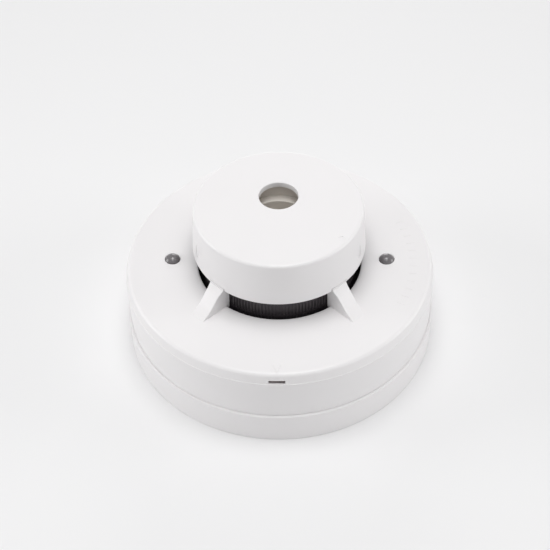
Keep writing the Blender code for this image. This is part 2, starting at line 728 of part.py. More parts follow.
def make_indicator(side, angle, made, pivot):
    """One indicator: the LED on the board and the light pipe whose dome shows on the top ring."""
    x, y = polar(LED_RADIUS, angle)
    led = finish(f"status_led_{side}", block((x, y, ON_BOARD + LED_SIZE[2] / 2), LED_SIZE), pivot)
    paint(led, made["led"])
    foot = ON_BOARD + LED_SIZE[2] + GAP
    flange_top = HEAD_TOP - HEAD_ROOF - DISH_DEPTH - GAP
    dome = PIPE_DOME
    sphere = (PIPE_RADIUS ** 2 + dome ** 2) / (2 * dome)
    spread = math.degrees(math.asin(PIPE_RADIUS / sphere))
    crown = arc((0, HEAD_TOP + dome - sphere), sphere, 90, 90 - spread, 4)
    crown[0] = (0, HEAD_TOP + dome)
    pipe = finish(f"light_pipe_{side}", turned(crown + [
        (PIPE_RADIUS, flange_top),
        (PIPE_FLANGE_RADIUS, flange_top),
        (PIPE_FLANGE_RADIUS, flange_top - PIPE_FLANGE),
        (PIPE_STEM_RADIUS, flange_top - PIPE_FLANGE),
        (PIPE_STEM_RADIUS, foot),
        (0, foot),
    ], ROUND_SMALL, closed=False, center=(x, y)), pivot)
    paint(pipe, made["lens"])


# ---- optical chamber, screen and thermistor ----

def thermistor_place():
    return (0.0, CAP_HOLE_OFFSET)


def lead_slot(angle, low, high, margin):
    """Space for the two leads behind an optic, with a margin all round."""
    radius = OPTIC_PITCH_RADIUS + OPTIC_LENGTH / 2 + 3 * LEAD_WIDTH
    size = (LEAD_WIDTH + 2 * margin, 2 * LEAD_SPREAD + LEAD_WIDTH + 2 * margin, high - low)
    return block((radius, 0, (low + high) / 2), size, angle)


def make_chamber_base(made, pivot):
    sunk = CHAMBER_FLOOR / 2
    floor = finish("chamber_base", turned([
        (0, CHAMBER_DECK), (CHAMBER_RADIUS, CHAMBER_DECK), (CHAMBER_RADIUS, ON_BOARD), (0, ON_BOARD),
    ], ROUND_INNER, closed=False), pivot)
    length, width, height = OPTIC_BLOCK
    holder = (length, width, height + sunk)
    add(floor, [
        block((OPTIC_PITCH_RADIUS, 0, CHAMBER_DECK + (height - sunk) / 2), holder, angle)
        for angle in OPTIC_ANGLES.values()
    ], "holders")
    cut(floor, [optic_bore(angle) for angle in OPTIC_ANGLES.values()], "optic_bores")
    cut(floor, [
        lead_slot(angle, ON_BOARD - CUT_THROUGH, CHAMBER_DECK + CUT_THROUGH, GAP)
        for angle in OPTIC_ANGLES.values()
    ], "lead_slots")
    hole = rod(thermistor_place(), RISER_RADIUS + GAP, ON_BOARD - CUT_THROUGH, CHAMBER_DECK + CUT_THROUGH)
    cut(floor, [hole], "riser_hole")
    return paint(floor, made)


def lying(bm, angle):
    """Lays a shape turned about Z on its side, pointing at the chamber's middle."""
    bmesh.ops.rotate(bm, verts=bm.verts, matrix=Matrix.Rotation(math.radians(-90), 3, "Y"))
    bmesh.ops.translate(bm, verts=bm.verts, vec=(OPTIC_PITCH_RADIUS, 0, CHAMBER_DECK + OPTIC_HEIGHT))
    turn(bm, angle)
    return bm


def optic_bore(angle):
    return lying(rod((0, 0), OPTIC_RADIUS + GAP, -OPTIC_LENGTH, OPTIC_LENGTH), angle)


def make_optic(name, angle, made, pivot):
    """A round optic with a domed front and two leads down to the board."""
    half = OPTIC_LENGTH / 2
    dome = arc((0, half - OPTIC_RADIUS), OPTIC_RADIUS, 90, 0, 4)
    dome[0] = (0, half)
    optic = finish(name, lying(turned(
        dome + [(OPTIC_RADIUS, -half), (0, -half)], ROUND_SMALL, closed=False), angle), pivot)
    back = OPTIC_PITCH_RADIUS + half
    level = CHAMBER_DECK + OPTIC_HEIGHT
    line = [
        (back - LEAD_WIDTH, level),
        (back + 3 * LEAD_WIDTH, level),
        (back + 3 * LEAD_WIDTH, ON_BOARD),
    ]
    leads = []
    for side in (-1, 1):
        lead = plate(strip_outline(line, LEAD_WIDTH), LEAD_WIDTH)
        bmesh.ops.translate(lead, verts=lead.verts, vec=(0, side * LEAD_SPREAD, 0))
        turn(lead, angle)
        leads.append(lead)
    add(optic, leads, "leads")
    return paint(optic, made)


def make_chamber_cover(made, pivot):
    roof = CHAMBER_TOP - CHAMBER_ROOF
    cover = finish("chamber_cover", turned([
        (0, CHAMBER_TOP), (CHAMBER_RADIUS, CHAMBER_TOP), (CHAMBER_RADIUS, roof), (0, roof),
    ], ROUND_INNER, closed=False), pivot)
    low = CHAMBER_DECK + GAP
    high = CHAMBER_TOP - CHAMBER_ROOF / 2
    vanes = []
    for index in range(VANE_COUNT):
        angle = 360 * index / VANE_COUNT
        vane = block((0, 0, (low + high) / 2), (VANE_LENGTH, VANE_THICKNESS, high - low), VANE_TURN)
        middle = CHAMBER_RADIUS - VANE_LENGTH / 2
        bmesh.ops.translate(vane, verts=vane.verts, vec=(middle, 0, 0))
        turn(vane, angle)
        vanes.append(vane)
    add(cover, vanes, "vanes")
    hole = rod(thermistor_place(), RISER_RADIUS + GAP, roof - CUT_THROUGH, CHAMBER_TOP + CUT_THROUGH)
    cut(cover, [hole], "riser_hole")
    return paint(cover, made)


def make_insect_screen(made, pivot):
    """A thin ring pierced by rows of upright windows."""
    low = ON_BOARD
    high = CARRIER_LEVEL - GAP
    first = low + SCREEN_SOLID_FOOT
    pitch = (high - SCREEN_BAND - first) / SCREEN_ROWS
    levels = [low]
    for row in range(SCREEN_ROWS):
        window_foot = first + row * pitch + SCREEN_BAND * (row > 0)
        levels += [window_foot, first + (row + 1) * pitch]
    levels.append(high)
    bm = turned([(SCREEN_RADIUS, level) for level in levels], 2 * SCREEN_WINDOWS, closed=False)
    holes = []
    for face in bm.faces:
        middle = face.calc_center_median()
        column = int((math.degrees(math.atan2(middle.y, middle.x)) % 360) / (180 / SCREEN_WINDOWS))
        row = sum(middle.z > level for level in levels) - 1
        if column % 2 and row % 2:
            holes.append(face)
    bmesh.ops.delete(bm, geom=holes, context="FACES")
    screen = finish("insect_screen", bm, pivot)
    solidify = screen.modifiers.new("wall", "SOLIDIFY")
    solidify.thickness = SCREEN_WALL
    solidify.offset = -1
    return paint(screen, made)


def make_thermistor_carrier(made, pivot):
    well_bottom = CHAMBER_TOP + GAP
    floor = well_bottom + WELL_FLOOR
    disc_top = CARRIER_LEVEL + CARRIER_DISC
    collar_top = disc_top + COLLAR_RISE
    chimney_top = CAP_TOP - CAP_ROOF - GAP
    x, y = thermistor_place()
    carrier = finish("thermistor_carrier", turned([
        (0, disc_top), (CARRIER_RADIUS, disc_top), (CARRIER_RADIUS, CARRIER_LEVEL), (0, CARRIER_LEVEL),
    ], ROUND_INNER, closed=False), pivot)
    add(carrier, [turned([
        (0, collar_top),
        (COLLAR_RADIUS, collar_top),
        (COLLAR_RADIUS, chimney_top),
        (COLLAR_RADIUS + CHIMNEY_WALL, chimney_top),
        (COLLAR_RADIUS + CHIMNEY_WALL, CARRIER_LEVEL + CARRIER_DISC / 2),
        (COLLAR_BORE + WELL_WALL, CARRIER_LEVEL + CARRIER_DISC / 2),
        (COLLAR_BORE + WELL_WALL, well_bottom),
        (0, well_bottom),
    ], ROUND_INNER, closed=False)], "well")
    cut(carrier, [turned([
        (0, floor),
        (COLLAR_BORE, floor),
        (COLLAR_BORE, collar_top - COLLAR_EDGE),
        (COLLAR_BORE + COLLAR_EDGE, collar_top + CUT_THROUGH),
        (0, collar_top + CUT_THROUGH),
    ], ROUND_INNER, closed=False)], "well_bore")
    add(carrier, [rod((x, y), RISER_RADIUS, ON_BOARD, floor - WELL_FLOOR / 2, 24)], "riser")
    cut(carrier, [rod((x, y), RISER_BORE, ON_BOARD - CUT_THROUGH, floor + CUT_THROUGH, 16)], "riser_bore")
    return paint(carrier, made)


def make_thermistor(made, pivot):
    x, y = thermistor_place()
    ball = arc((0, BEAD_LEVEL), BEAD_RADIUS, 90, -90, 8)
    ball[0] = (0, BEAD_LEVEL + BEAD_RADIUS)
    ball[-1] = (0, BEAD_LEVEL - BEAD_RADIUS)
    bead = finish("thermistor", turned(ball, 16, closed=False, center=(x, y)), pivot)
    add(bead, [
        rod((x + side * WIRE_SPREAD, y), WIRE_RADIUS, ON_BOARD, BEAD_LEVEL - BEAD_RADIUS / 2, 8)
        for side in (-1, 1)
    ], "leads")
    return paint(bead, made)


# ---- outer cover and cap ----

def make_head_cover(made, pivot):
    edge_radius = HEAD_RADIUS - SHOULDER_RUN
    lip_top = HEAD_TOP - DISH_DEPTH
    ceiling = HEAD_TOP - HEAD_ROOF
    corner = arc((edge_radius - SHOULDER_CORNER, HEAD_TOP - SHOULDER_CORNER), SHOULDER_CORNER, 90, 20, 4)
    cover = finish("head_cover", turned([
        (HEAD_BORE, HEAD_FOOT),
        (HEAD_BORE, ceiling - INNER_CORNER),
        (HEAD_BORE - INNER_CORNER, ceiling),
        (DISH_RADIUS, ceiling),
        (LIP_RADIUS, ceiling - DISH_DEPTH),
        (LIP_RADIUS, lip_top - LIP_CHAMFER),
        (LIP_RADIUS + LIP_CHAMFER, lip_top),
        (DISH_RADIUS, HEAD_TOP),
    ] + corner + [
        (HEAD_RADIUS, HEAD_TOP - SHOULDER_DROP),
        (HEAD_RADIUS, HEAD_FOOT),
    ]), pivot)
    add(cover, [make_strut(angle) for angle in STRUT_ANGLES], "struts")
    ledge_low = HEAD_FOOT + ARM_LEDGE_LIFT
    add(cover, [
        sector(HEAD_BORE - ARM_LEDGE_REACH, HEAD_BORE + HEAD_WALL / 2, ledge_low,
               ledge_low + ARM_LEDGE_HEIGHT, angle - ARM_SPAN / 2, angle + ARM_SPAN / 2, 2)
        for angle in ARM_ANGLES
    ], "snap_ledges")
    cut(cover, [block(
        (0, -HEAD_RADIUS, HEAD_TOP - SLOT_DROP), (SLOT_WIDTH, 4 * HEAD_WALL, SLOT_HEIGHT))], "tool_slot")
    lens_hole = PIPE_RADIUS + PIPE_GAP
    cut(cover, [
        rod(polar(LED_RADIUS, angle), lens_hole, ceiling - 2 * CUT_THROUGH, HEAD_TOP + CUT_THROUGH)
        for _, angle in led_places()
    ], "lens_holes")
    return paint(cover, made)


def make_strut(angle):
    """A strut from the dish up into the cap's notch, a little narrower at its foot."""
    inner = CAP_RIM_RADIUS - STRUT_DEPTH
    top = CAP_RIM + CAP_NOTCH_HEIGHT - GAP
    root = HEAD_TOP - HEAD_ROOF
    strut = plate([
        (inner, top),
        (inner, root),
        (DISH_RADIUS, root),
        (DISH_RADIUS, HEAD_TOP),
        (CAP_RIM_RADIUS + STRUT_TOE_RUN, HEAD_TOP + STRUT_TOE_HEIGHT),
        (CAP_RIM_RADIUS + STRUT_SHOULDER_RUN, CAP_RIM - STRUT_SHOULDER_DROP),
        (CAP_RIM_RADIUS, CAP_RIM + STRUT_TAB_FOOT),
        (CAP_RIM_RADIUS, top),
    ], STRUT_FOOT_WIDTH)
    for vert in strut.verts:
        if vert.co.z > CAP_RIM - GAP:
            vert.co.y *= STRUT_TOP_WIDTH / STRUT_FOOT_WIDTH
    turn(strut, angle)
    return strut


def make_sensor_cap(made, pivot):
    top_radius = CAP_RIM_RADIUS - CAP_DRAFT
    ceiling = CAP_TOP - CAP_ROOF
    edge = arc((top_radius - CAP_EDGE_RADIUS, CAP_TOP - CAP_EDGE_RADIUS), CAP_EDGE_RADIUS, 90, 0, 4)
    cap = finish("sensor_cap", turned([
        (0, ceiling),
        (top_radius - CAP_WALL, ceiling),
        (CAP_RIM_RADIUS - CAP_WALL, CAP_RIM),
        (CAP_RIM_RADIUS, CAP_RIM),
    ] + edge[::-1] + [(0, CAP_TOP)], closed=False), pivot)
    hole = rod((0, CAP_HOLE_OFFSET), CAP_HOLE_RADIUS, ceiling - CUT_THROUGH, CAP_TOP + CUT_THROUGH, 32)
    cut(cap, [hole], "hole")
    notch = (3 * CAP_WALL, STRUT_TOP_WIDTH + 2 * CAP_NOTCH_GAP, CAP_NOTCH_HEIGHT + CUT_THROUGH)
    cut(cap, [
        block((CAP_RIM_RADIUS, 0, CAP_RIM + CAP_NOTCH_HEIGHT - notch[2] / 2), notch, angle)
        for angle in STRUT_ANGLES
    ], "notches")
    cut(cap, [dimple(side * DIMPLE_BEARING - 90) for side in (-1, 1)], "dimples")
    return paint(cap, made)


def dimple(angle):
    """An upright oval that grazes the cap's side."""
    level = DIMPLE_LIFT + CAP_RIM
    radius = CAP_RIM_RADIUS - CAP_DRAFT * DIMPLE_LIFT / CAP_HEIGHT
    bm = bmesh.new()
    size = (2 * DIMPLE_DEPTH, DIMPLE_WIDTH, DIMPLE_HEIGHT)
    bmesh.ops.create_uvsphere(
        bm, u_segments=12, v_segments=8, radius=0.5,
        matrix=Matrix.Translation((radius, 0, level)) @ Matrix.Diagonal((*size, 1)),
    )
    turn(bm, angle)
    return bm


# ---- tamper latch ----

def make_latch(made, guide):
    front = -LATCH_FACE
    back = front + LATCH_THICKNESS
    latch = finish("lock_latch", block(
        (0, (front + back) / 2, (LATCH_FOOT + LATCH_TOP) / 2),
        (LATCH_WIDTH, LATCH_THICKNESS, LATCH_TOP - LATCH_FOOT),
    ), guide)
    tip = -(BASE_BORE + LATCH_BITE)
    add(latch, [block(
        (0, (tip + back) / 2, LATCH_FOOT + LATCH_TOOTH_HEIGHT / 2),
        (LATCH_TOOTH_WIDTH, back - tip, LATCH_TOOTH_HEIGHT),
    )], "tooth")
    peg = rod((0, 0), SPRING_PEG_RADIUS, -LATCH_THICKNESS / 2, SPRING_PEG_LENGTH, 12)
    bmesh.ops.rotate(peg, verts=peg.verts, matrix=Matrix.Rotation(math.radians(-90), 3, "X"))
    bmesh.ops.translate(peg, verts=peg.verts, vec=(0, back, SPRING_LEVEL))
    add(latch, [peg], "spring_peg")
    return paint(latch, made)


def make_latch_spring(made, guide):
    """A coil spring between the latch and the wall behind it."""
    curve = bpy.data.curves.new("latch_spring", "CURVE")
    curve.dimensions = "3D"
    spline = curve.splines.new("POLY")
    per_turn = 12
    count = SPRING_TURNS * per_turn + 1
    spline.points.add(count - 1)
    start = -LATCH_FACE + LATCH_THICKNESS + GAP + SPRING_WIRE / 2
    length = SPRING_LENGTH - SPRING_WIRE
    middle = SPRING_RADIUS - SPRING_WIRE / 2
    for index in range(count):
        angle = math.tau * index / per_turn
        y = start + length * index / (count - 1)
        spline.points[index].co = (middle * math.cos(angle), y, SPRING_LEVEL + middle * math.sin(angle), 1)
    curve.bevel_depth = SPRING_WIRE / 2
    curve.bevel_resolution = 0
    curve.use_fill_caps = True
    spring = bpy.data.objects.new("latch_spring", curve)
    bpy.context.scene.collection.objects.link(spring)
    spring.parent = guide
    spring.matrix_parent_inverse = guide.matrix_world.inverted()
    curve.materials.append(made)
    return spring


def empty(name, location, parent=None):
    made = bpy.data.objects.new(name, None)
    bpy.context.scene.collection.objects.link(made)
    made.location = location
    made.empty_display_size = 0.01
    if parent:
        made.parent = parent
    bpy.context.view_layer.update()
    return made


def main():
    for obj in list(bpy.data.objects):
        bpy.data.objects.remove(obj)
    shell = material("white_plastic", (0.86, 0.85, 0.83), 0.42)
    made = {
        "black": material("black_plastic", (0.02, 0.02, 0.022), 0.5),
        "board": material("circuit_board", (0.03, 0.17, 0.07), 0.45),
        "brass": material("contact_brass", (0.72, 0.56, 0.25), 0.3, 1.0),
        "zinc": material("zinc_steel", (0.72, 0.72, 0.72), 0.3, 1.0),
        "tin": material("tin_plate", (0.66, 0.67, 0.68), 0.35, 1.0),
        "aluminium": material("aluminium_can", (0.77, 0.78, 0.8), 0.32, 1.0),
        "glass": material("reed_glass", (0.2, 0.32, 0.26), 0.1),
        "lens": material("smoked_lens", (0.17, 0.17, 0.18), 0.12),
        "led": material("led_package", (0.9, 0.88, 0.8), 0.3),
        "carrier": material("carrier_plastic", (0.72, 0.68, 0.6), 0.5),
        "bead": material("thermistor_epoxy", (0.12, 0.08, 0.05), 0.35),
        "optic": material("optic_epoxy", (0.05, 0.05, 0.08), 0.1),
        "spring": material("spring_steel", (0.6, 0.6, 0.6), 0.25, 1.0),
    }
    make_mounting_base(shell)
    for number, angle in enumerate(TERMINAL_ANGLES, 1):
        make_terminal(number, angle, made)

    pivot = empty("head_pivot", (0, 0, 0))
    make_head_body(shell, pivot)
    for number, angle in enumerate(TERMINAL_ANGLES, 1):
        make_contact_blade(number, angle, made["brass"], pivot)
    make_pcb(made["board"], pivot)
    make_board_parts(made, pivot)
    for side, angle in led_places():
        make_indicator(side, angle, made, pivot)
    make_chamber_base(made["black"], pivot)
    for name, angle in OPTIC_ANGLES.items():
        make_optic(name, angle, made["optic"], pivot)
    make_chamber_cover(made["black"], pivot)
    make_insect_screen(made["black"], pivot)
    make_thermistor_carrier(made["carrier"], pivot)
    make_thermistor(made["bead"], pivot)
    make_head_cover(shell, pivot)
    make_sensor_cap(shell, pivot)

    guide = empty("latch_guide", (0, -LATCH_FACE, SPRING_LEVEL), pivot)
    make_latch(shell, guide)
    make_latch_spring(made["spring"], guide)


main()
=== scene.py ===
"""Looks of a ceiling heat detector: moulded shells, screen, lenses and finishes, and the studio.

Laid out as an add-on and run as a script. Metres, +Z towards the room, the tool slot facing -Y.
"""

import json
import math

import bmesh
import bpy
from bpy.props import FloatProperty, FloatVectorProperty, IntProperty, PointerProperty
from mathutils import Matrix, Vector

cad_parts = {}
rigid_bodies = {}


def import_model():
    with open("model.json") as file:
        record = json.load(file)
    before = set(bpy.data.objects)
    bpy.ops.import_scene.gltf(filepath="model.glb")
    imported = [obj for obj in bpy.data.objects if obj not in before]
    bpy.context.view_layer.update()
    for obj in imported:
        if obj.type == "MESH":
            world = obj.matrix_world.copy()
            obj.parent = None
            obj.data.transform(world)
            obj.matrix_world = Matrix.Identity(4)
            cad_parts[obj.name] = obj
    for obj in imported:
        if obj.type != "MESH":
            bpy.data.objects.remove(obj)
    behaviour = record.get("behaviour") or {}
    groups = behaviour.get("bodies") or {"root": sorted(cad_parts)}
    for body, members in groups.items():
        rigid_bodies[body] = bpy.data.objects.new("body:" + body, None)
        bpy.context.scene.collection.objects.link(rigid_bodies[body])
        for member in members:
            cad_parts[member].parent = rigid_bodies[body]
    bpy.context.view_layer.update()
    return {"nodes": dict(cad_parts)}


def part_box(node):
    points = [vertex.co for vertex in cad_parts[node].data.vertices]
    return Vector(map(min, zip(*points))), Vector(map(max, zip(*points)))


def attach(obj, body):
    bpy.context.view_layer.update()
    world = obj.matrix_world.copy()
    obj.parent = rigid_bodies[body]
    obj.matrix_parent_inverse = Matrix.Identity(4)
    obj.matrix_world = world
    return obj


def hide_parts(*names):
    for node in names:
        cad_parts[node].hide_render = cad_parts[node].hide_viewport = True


bl_info = {
    "name": "Heat Detector",
    "version": (1, 0, 0),
    "blender": (4, 5, 0),
    "location": "View3D > Sidebar > Detector",
    "description": "Builds the finished pieces of a ceiling heat detector round its frame",
    "category": "Object",
}

for leftover in list(bpy.data.objects):
    bpy.data.objects.remove(leftover)
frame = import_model()

MM = 0.001

# What the frame says
BASE_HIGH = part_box("mounting_base")[1]
COVER_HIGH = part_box("head_cover")[1]
CAP_LOW, CAP_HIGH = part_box("sensor_cap")
SCREEN_LOW, SCREEN_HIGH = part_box("insect_screen")
CARRIER_LOW, CARRIER_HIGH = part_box("thermistor_carrier")
BEAD_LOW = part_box("thermistor")[0]

BASE_RADIUS = BASE_HIGH.x
BASE_HEIGHT = BASE_HIGH.z
CAP_RIM = CAP_LOW.z
CAP_TOP = CAP_HIGH.z
CAP_RIM_RADIUS = CAP_HIGH.x

# Mounting base
BASE_WALL = 2.0 * MM
SEAM_DROP = 0.2 * MM             # height of the bevel on top of the wall
BASE_FLOOR = 2.4 * MM
BASE_BORE = BASE_RADIUS - BASE_WALL
BASE_BORE_EDGE = 0.25 * MM
CABLE_ENTRY_RADIUS = 12.0 * MM
COLLAR_RADIUS = 13.5 * MM
COLLAR_TOP = 4.2 * MM
COLLAR_EDGE = 0.4 * MM
FIXING_PITCH_RADIUS = 26.5 * MM
FIXING_LENGTH = 9.0 * MM
FIXING_WIDTH = 4.2 * MM
FIXING_ANGLES = (0, 90, 180, 270)
TERMINAL_ANGLES = (45, 135, 225, 315)
TERMINAL_RADIUS = 31.5 * MM
BOSS_SIDE = 9.0 * MM
BOSS_TOP = 3.8 * MM
BOSS_EDGE = 0.3 * MM
PILOT_RADIUS = 1.8 * MM
PILOT_FLOOR = 0.6 * MM
BAYONET_ANGLES = (90, 210, 330)
LEDGE_SPAN = 22
LEDGE_BORE = 46.4 * MM
LEDGE_LOW = 7.1 * MM
LEDGE_TOP = 8.9 * MM
GROOVE_DEPTH = 1.2 * MM
GROOVE_LOW = 7.5 * MM
GROOVE_TOP = 10.1 * MM
GROOVE_START = -93.9
GROOVE_END = -71.1

# Head cover
HEAD_STEP = 0.5 * MM             # how far the head's side stands in from the base's
HEAD_RADIUS = COVER_HIGH.x - HEAD_STEP
SEAM_GAP = 0.08 * MM             # between the base and the head's foot
HEAD_FOOT = BASE_HEIGHT + SEAM_GAP
HEAD_TOP = 29.8 * MM
HEAD_BORE = 48.7 * MM
CEILING = 28.2 * MM
CEILING_EDGE = 0.4 * MM
SHOULDER_LEVEL = 26.3 * MM
SHOULDER_LEDGE = 0.12 * MM
SHOULDER_LEDGE_EDGE = 0.06 * MM
CORNER_RADIUS = 49.2 * MM
DISH_RADIUS = 36.5 * MM
DISH_DEPTH = 0.6 * MM
LIP_RADIUS = 26.6 * MM
STRUT_ANGLES = (47, 133, 227, 313)
STRUT_FOOT_WIDTH = 5.2 * MM
STRUT_TOP_WIDTH = 5.8 * MM
STRUT_DEPTH = 2.4 * MM
STRUT_TOP = COVER_HIGH.z
STRUT_TAB_FOOT = 0.15 * MM       # above the cap's rim
STRUT_SHOULDER = (2.0 * MM, -1.3 * MM)      # out from the cap's rim, and up
STRUT_TOE = (5.4 * MM, -5.0 * MM)
STRUT_ROUNDING = 0.8 * MM
STRUT_SIDE_EDGE = 0.25 * MM
STRUT_SIDE_ANGLE = 60            # degrees at which a strut's side edge counts as sharp
SNAP_ANGLES = (25, 155, 205, 335)
SNAP_SPAN = 7
SNAP_BORE = 47.3 * MM
SNAP_LOW = 17.6 * MM
SNAP_TOP = 19.1 * MM
SLOT_SIZE = (5.0 * MM, 8.0 * MM, 1.4 * MM)
SLOT_EDGE = 0.12 * MM
SLOT_LEVEL = 26.95 * MM
SLOT_SILL = 0.85 * MM            # depth of the sill before the slot drops away
SLOT_UNDERCUT = 5.0 * MM
SLOT_UNDERCUT_LEAN = 45
CHEVRON_RADIUS = 47.1 * MM
CHEVRON_LENGTH = 3.2 * MM
CHEVRON_LEAN = 21
CHEVRON_STROKE = 0.4 * MM
CHEVRON_DEPTH = 0.13 * MM
MARK_FIRST = -28
MARK_STEP = 4.6
MARK_COUNT = 12
MARK_RADIUS = 43.4 * MM
MARK_SIZE = (2.6 * MM, 0.6 * MM, 0.4 * MM)
MARK_RISE = 0.06 * MM
MARK_EDGE = 0.05 * MM

# Sensor cap
CAP_DRAFT = 1.0 * MM
CAP_WALL = 1.6 * MM
CAP_CEILING = 50.5 * MM
CAP_CEILING_EDGE = 0.5 * MM
CAP_RIM_EDGE = 0.2 * MM
HOLE_RADIUS = 6.2 * MM
HOLE_PLACE = (0.0, 4.7 * MM)
NOTCH_HEIGHT = 1.02 * MM
NOTCH_WIDTH = 6.4 * MM
DIMPLE_ANGLES = (-157, -23)
DIMPLE_LEVEL = 43.1 * MM
DIMPLE_SIZE = (0.9 * MM, 2.6 * MM, 5.4 * MM)
GATE_ANGLE = -37.5
GATE_PLACE_RADIUS = 24.3 * MM
GATE_RADIUS = 1.1 * MM
GATE_DEPTH = 0.16 * MM

# Screen, carrier, thermistor and light pipes
SCREEN_RADIUS = 25.0 * MM
SCREEN_WALL = 0.8 * MM
SCREEN_BACKING = 0.45 * MM       # left behind each pocket between the ribs
SCREEN_FOOT = 5.0 * MM
SCREEN_ROWS = 3
SCREEN_BAND = 1.0 * MM
CARRIER_RADIUS = 25.2 * MM
CARRIER_LEVEL = 42.0 * MM
CARRIER_TOP = 43.5 * MM
CARRIER_EDGE = 0.3 * MM
COLLAR_RING = (9.6 * MM, 12.4 * MM, 45.6 * MM)      # bore, outer radius and top
COLLAR_RING_EDGE = 0.45 * MM
CHIMNEY_WALL = 1.2 * MM
WELL_RADIUS = 10.9 * MM
WELL_BOTTOM = 38.3 * MM
WELL_FLOOR = 39.5 * MM
RISER_RADIUS = 2.2 * MM
RISER_BORE = 1.4 * MM
BEAD_RADIUS = 1.3 * MM
BEAD_LEVEL = 43.9 * MM
LEAD_RADIUS = 0.3 * MM
LEAD_SPREAD = 0.55 * MM
LENS_ANGLES = {"light_pipe_right": -1.4, "light_pipe_left": 181.4}
LENS_PLACE_RADIUS = 34.8 * MM
LENS_RADIUS = 2.4 * MM
LENS_HOLE_RADIUS = 2.55 * MM
PIPE_STEM_RADIUS = 2.0 * MM
PIPE_FLANGE_RADIUS = 3.6 * MM
PIPE_FLANGE_TOP = 27.3 * MM
PIPE_FLANGE_FOOT = 26.3 * MM
PIPE_DOME = 1.4 * MM
PIPE_DOME_STEPS = 10

# Finish of the moulded plastics
DRIFT_GRAIN = 55
GLOSS_GRAIN = 90
GLOSS_DRIFT = 0.03
SPARK_DEPTH = 0.012 * MM
SPARK_STRENGTH = 0.015

# Studio
PANEL_SIZE = 0.45
PANEL_DISTANCE = 0.8
PANEL_AIM = 0.03
PANELS = (                       # name, setting of its power, bearing and height in degrees
    ("top_panel", "top_light", 0, 90),
    ("high_front_panel", "front_light", 0, 68),
    ("low_front_panel", "fill_light", 0, 15),
    ("left_panel", "left_light", 270, 15),
    ("right_panel", "right_light", 90, 15),
    ("back_panel", "back_light", 180, 15),
)
FLOOR_HALF = 2.5
CAMERA_PLACE = (-1.58 * MM, -253.2 * MM, 283.0 * MM)
CAMERA_BEARING = 2.1             # degrees round from the front
CAMERA_HEIGHT = 45.94            # degrees down from level
CAMERA_ROLL = -1.47
SENSOR_WIDTH = 36

# Making
CLEAR = 1.0 * MM                 # how far a cutter runs past what it cuts
WELD = 1e-7
RING_SLACK = 0.02 * MM           # how near to its place an edge must be to be rounded
RING_SAG = 4e-4                  # how far a facet's middle falls inside its circle, in radii
LEAST_BEND = 0.05                # radians between faces below which an edge is flat
SHARP = 32                       # degrees at which shading breaks
FACE_AREA_WEIGHT = 80            # how much large faces lead the shading
EASE_BEND = 0.3                  # how near the corner the middle of an eased edge lies, in its width


# ---- settings ----

class DetectorSizes(bpy.types.PropertyGroup):
    round_steps: IntProperty(
        name="Round steps", description="Facets round each shell", default=256, min=64, max=512)
    rib_count: IntProperty(
        name="Screen ribs", description="Upright ribs round the insect screen", default=150,
        min=60, max=240)
    base_foot_edge: FloatProperty(
        name="Base foot edge", description="Rounding at the base's foot", default=0.2 * MM,
        unit="LENGTH", subtype="DISTANCE")
    seam_edge: FloatProperty(
        name="Seam edge", description="Width of the bevel on top of the base's wall", default=0.3 * MM,
        unit="LENGTH", subtype="DISTANCE")
    shoulder_edge: FloatProperty(
        name="Shoulder edge", description="Rounding between the top ring and its side", default=1.0 * MM,
        unit="LENGTH", subtype="DISTANCE")
    lip_edge: FloatProperty(
        name="Lip edge", description="Rounding of the dish's inner lip", default=0.35 * MM,
        unit="LENGTH", subtype="DISTANCE")
    cap_edge: FloatProperty(
        name="Cap edge", description="Rounding round the cap's top", default=0.9 * MM,
        unit="LENGTH", subtype="DISTANCE")
    hole_edge: FloatProperty(
        name="Hole edge", description="Rounding round the cap's hole", default=0.35 * MM,
        unit="LENGTH", subtype="DISTANCE")


class DetectorColours(bpy.types.PropertyGroup):
    shell: FloatVectorProperty(
        name="Shell", description="White moulded plastic", subtype="COLOR", size=3,
        default=(0.86, 0.845, 0.85), min=0, max=1)
    black: FloatVectorProperty(
        name="Screen", description="Black moulded plastic", subtype="COLOR", size=3,
        default=(0.055, 0.047, 0.052), min=0, max=1)
    carrier: FloatVectorProperty(
        name="Carrier", description="Natural plastic round the thermistor", subtype="COLOR", size=3,
        default=(0.8, 0.755, 0.7), min=0, max=1)
    lens: FloatVectorProperty(
        name="Lens", description="Smoked lens of the indicators", subtype="COLOR", size=3,
        default=(0.16, 0.15, 0.155), min=0, max=1)
    board: FloatVectorProperty(
        name="Board", description="Solder mask of the circuit board", subtype="COLOR", size=3,
        default=(0.03, 0.028, 0.03), min=0, max=1)
    floor: FloatVectorProperty(
        name="Floor", description="Studio floor", subtype="COLOR", size=3,
        default=(0.86, 0.858, 0.862), min=0, max=1)


class StudioSettings(bpy.types.PropertyGroup):
    sky: FloatProperty(
        name="Sky", description="Strength of the even light all round", default=0.405, min=0, max=5)
    top_light: FloatProperty(
        name="Top light", description="Power of the overhead panel", default=2.39, min=0,
        unit="POWER")
    front_light: FloatProperty(
        name="High front light", description="Power of the high front panel", default=0.87, min=0,
        unit="POWER")
    fill_light: FloatProperty(
        name="Low front light", description="Power of the low front panel", default=0.08, min=0,
        unit="POWER")
    left_light: FloatProperty(
        name="Left light", description="Power of the left panel", default=1.86, min=0, unit="POWER")
    right_light: FloatProperty(
        name="Right light", description="Power of the right panel", default=1.53, min=0, unit="POWER")
    back_light: FloatProperty(
        name="Back light", description="Power of the rear panel", default=0.97, min=0, unit="POWER")
    lens: FloatProperty(
        name="Focal length", description="Camera's focal length in millimetres", default=72.0, min=1)


# ---- mesh tools ----

def recalculated(bm):
    bmesh.ops.remove_doubles(bm, verts=bm.verts, dist=WELD)
    bmesh.ops.recalc_face_normals(bm, faces=bm.faces)
    return bm


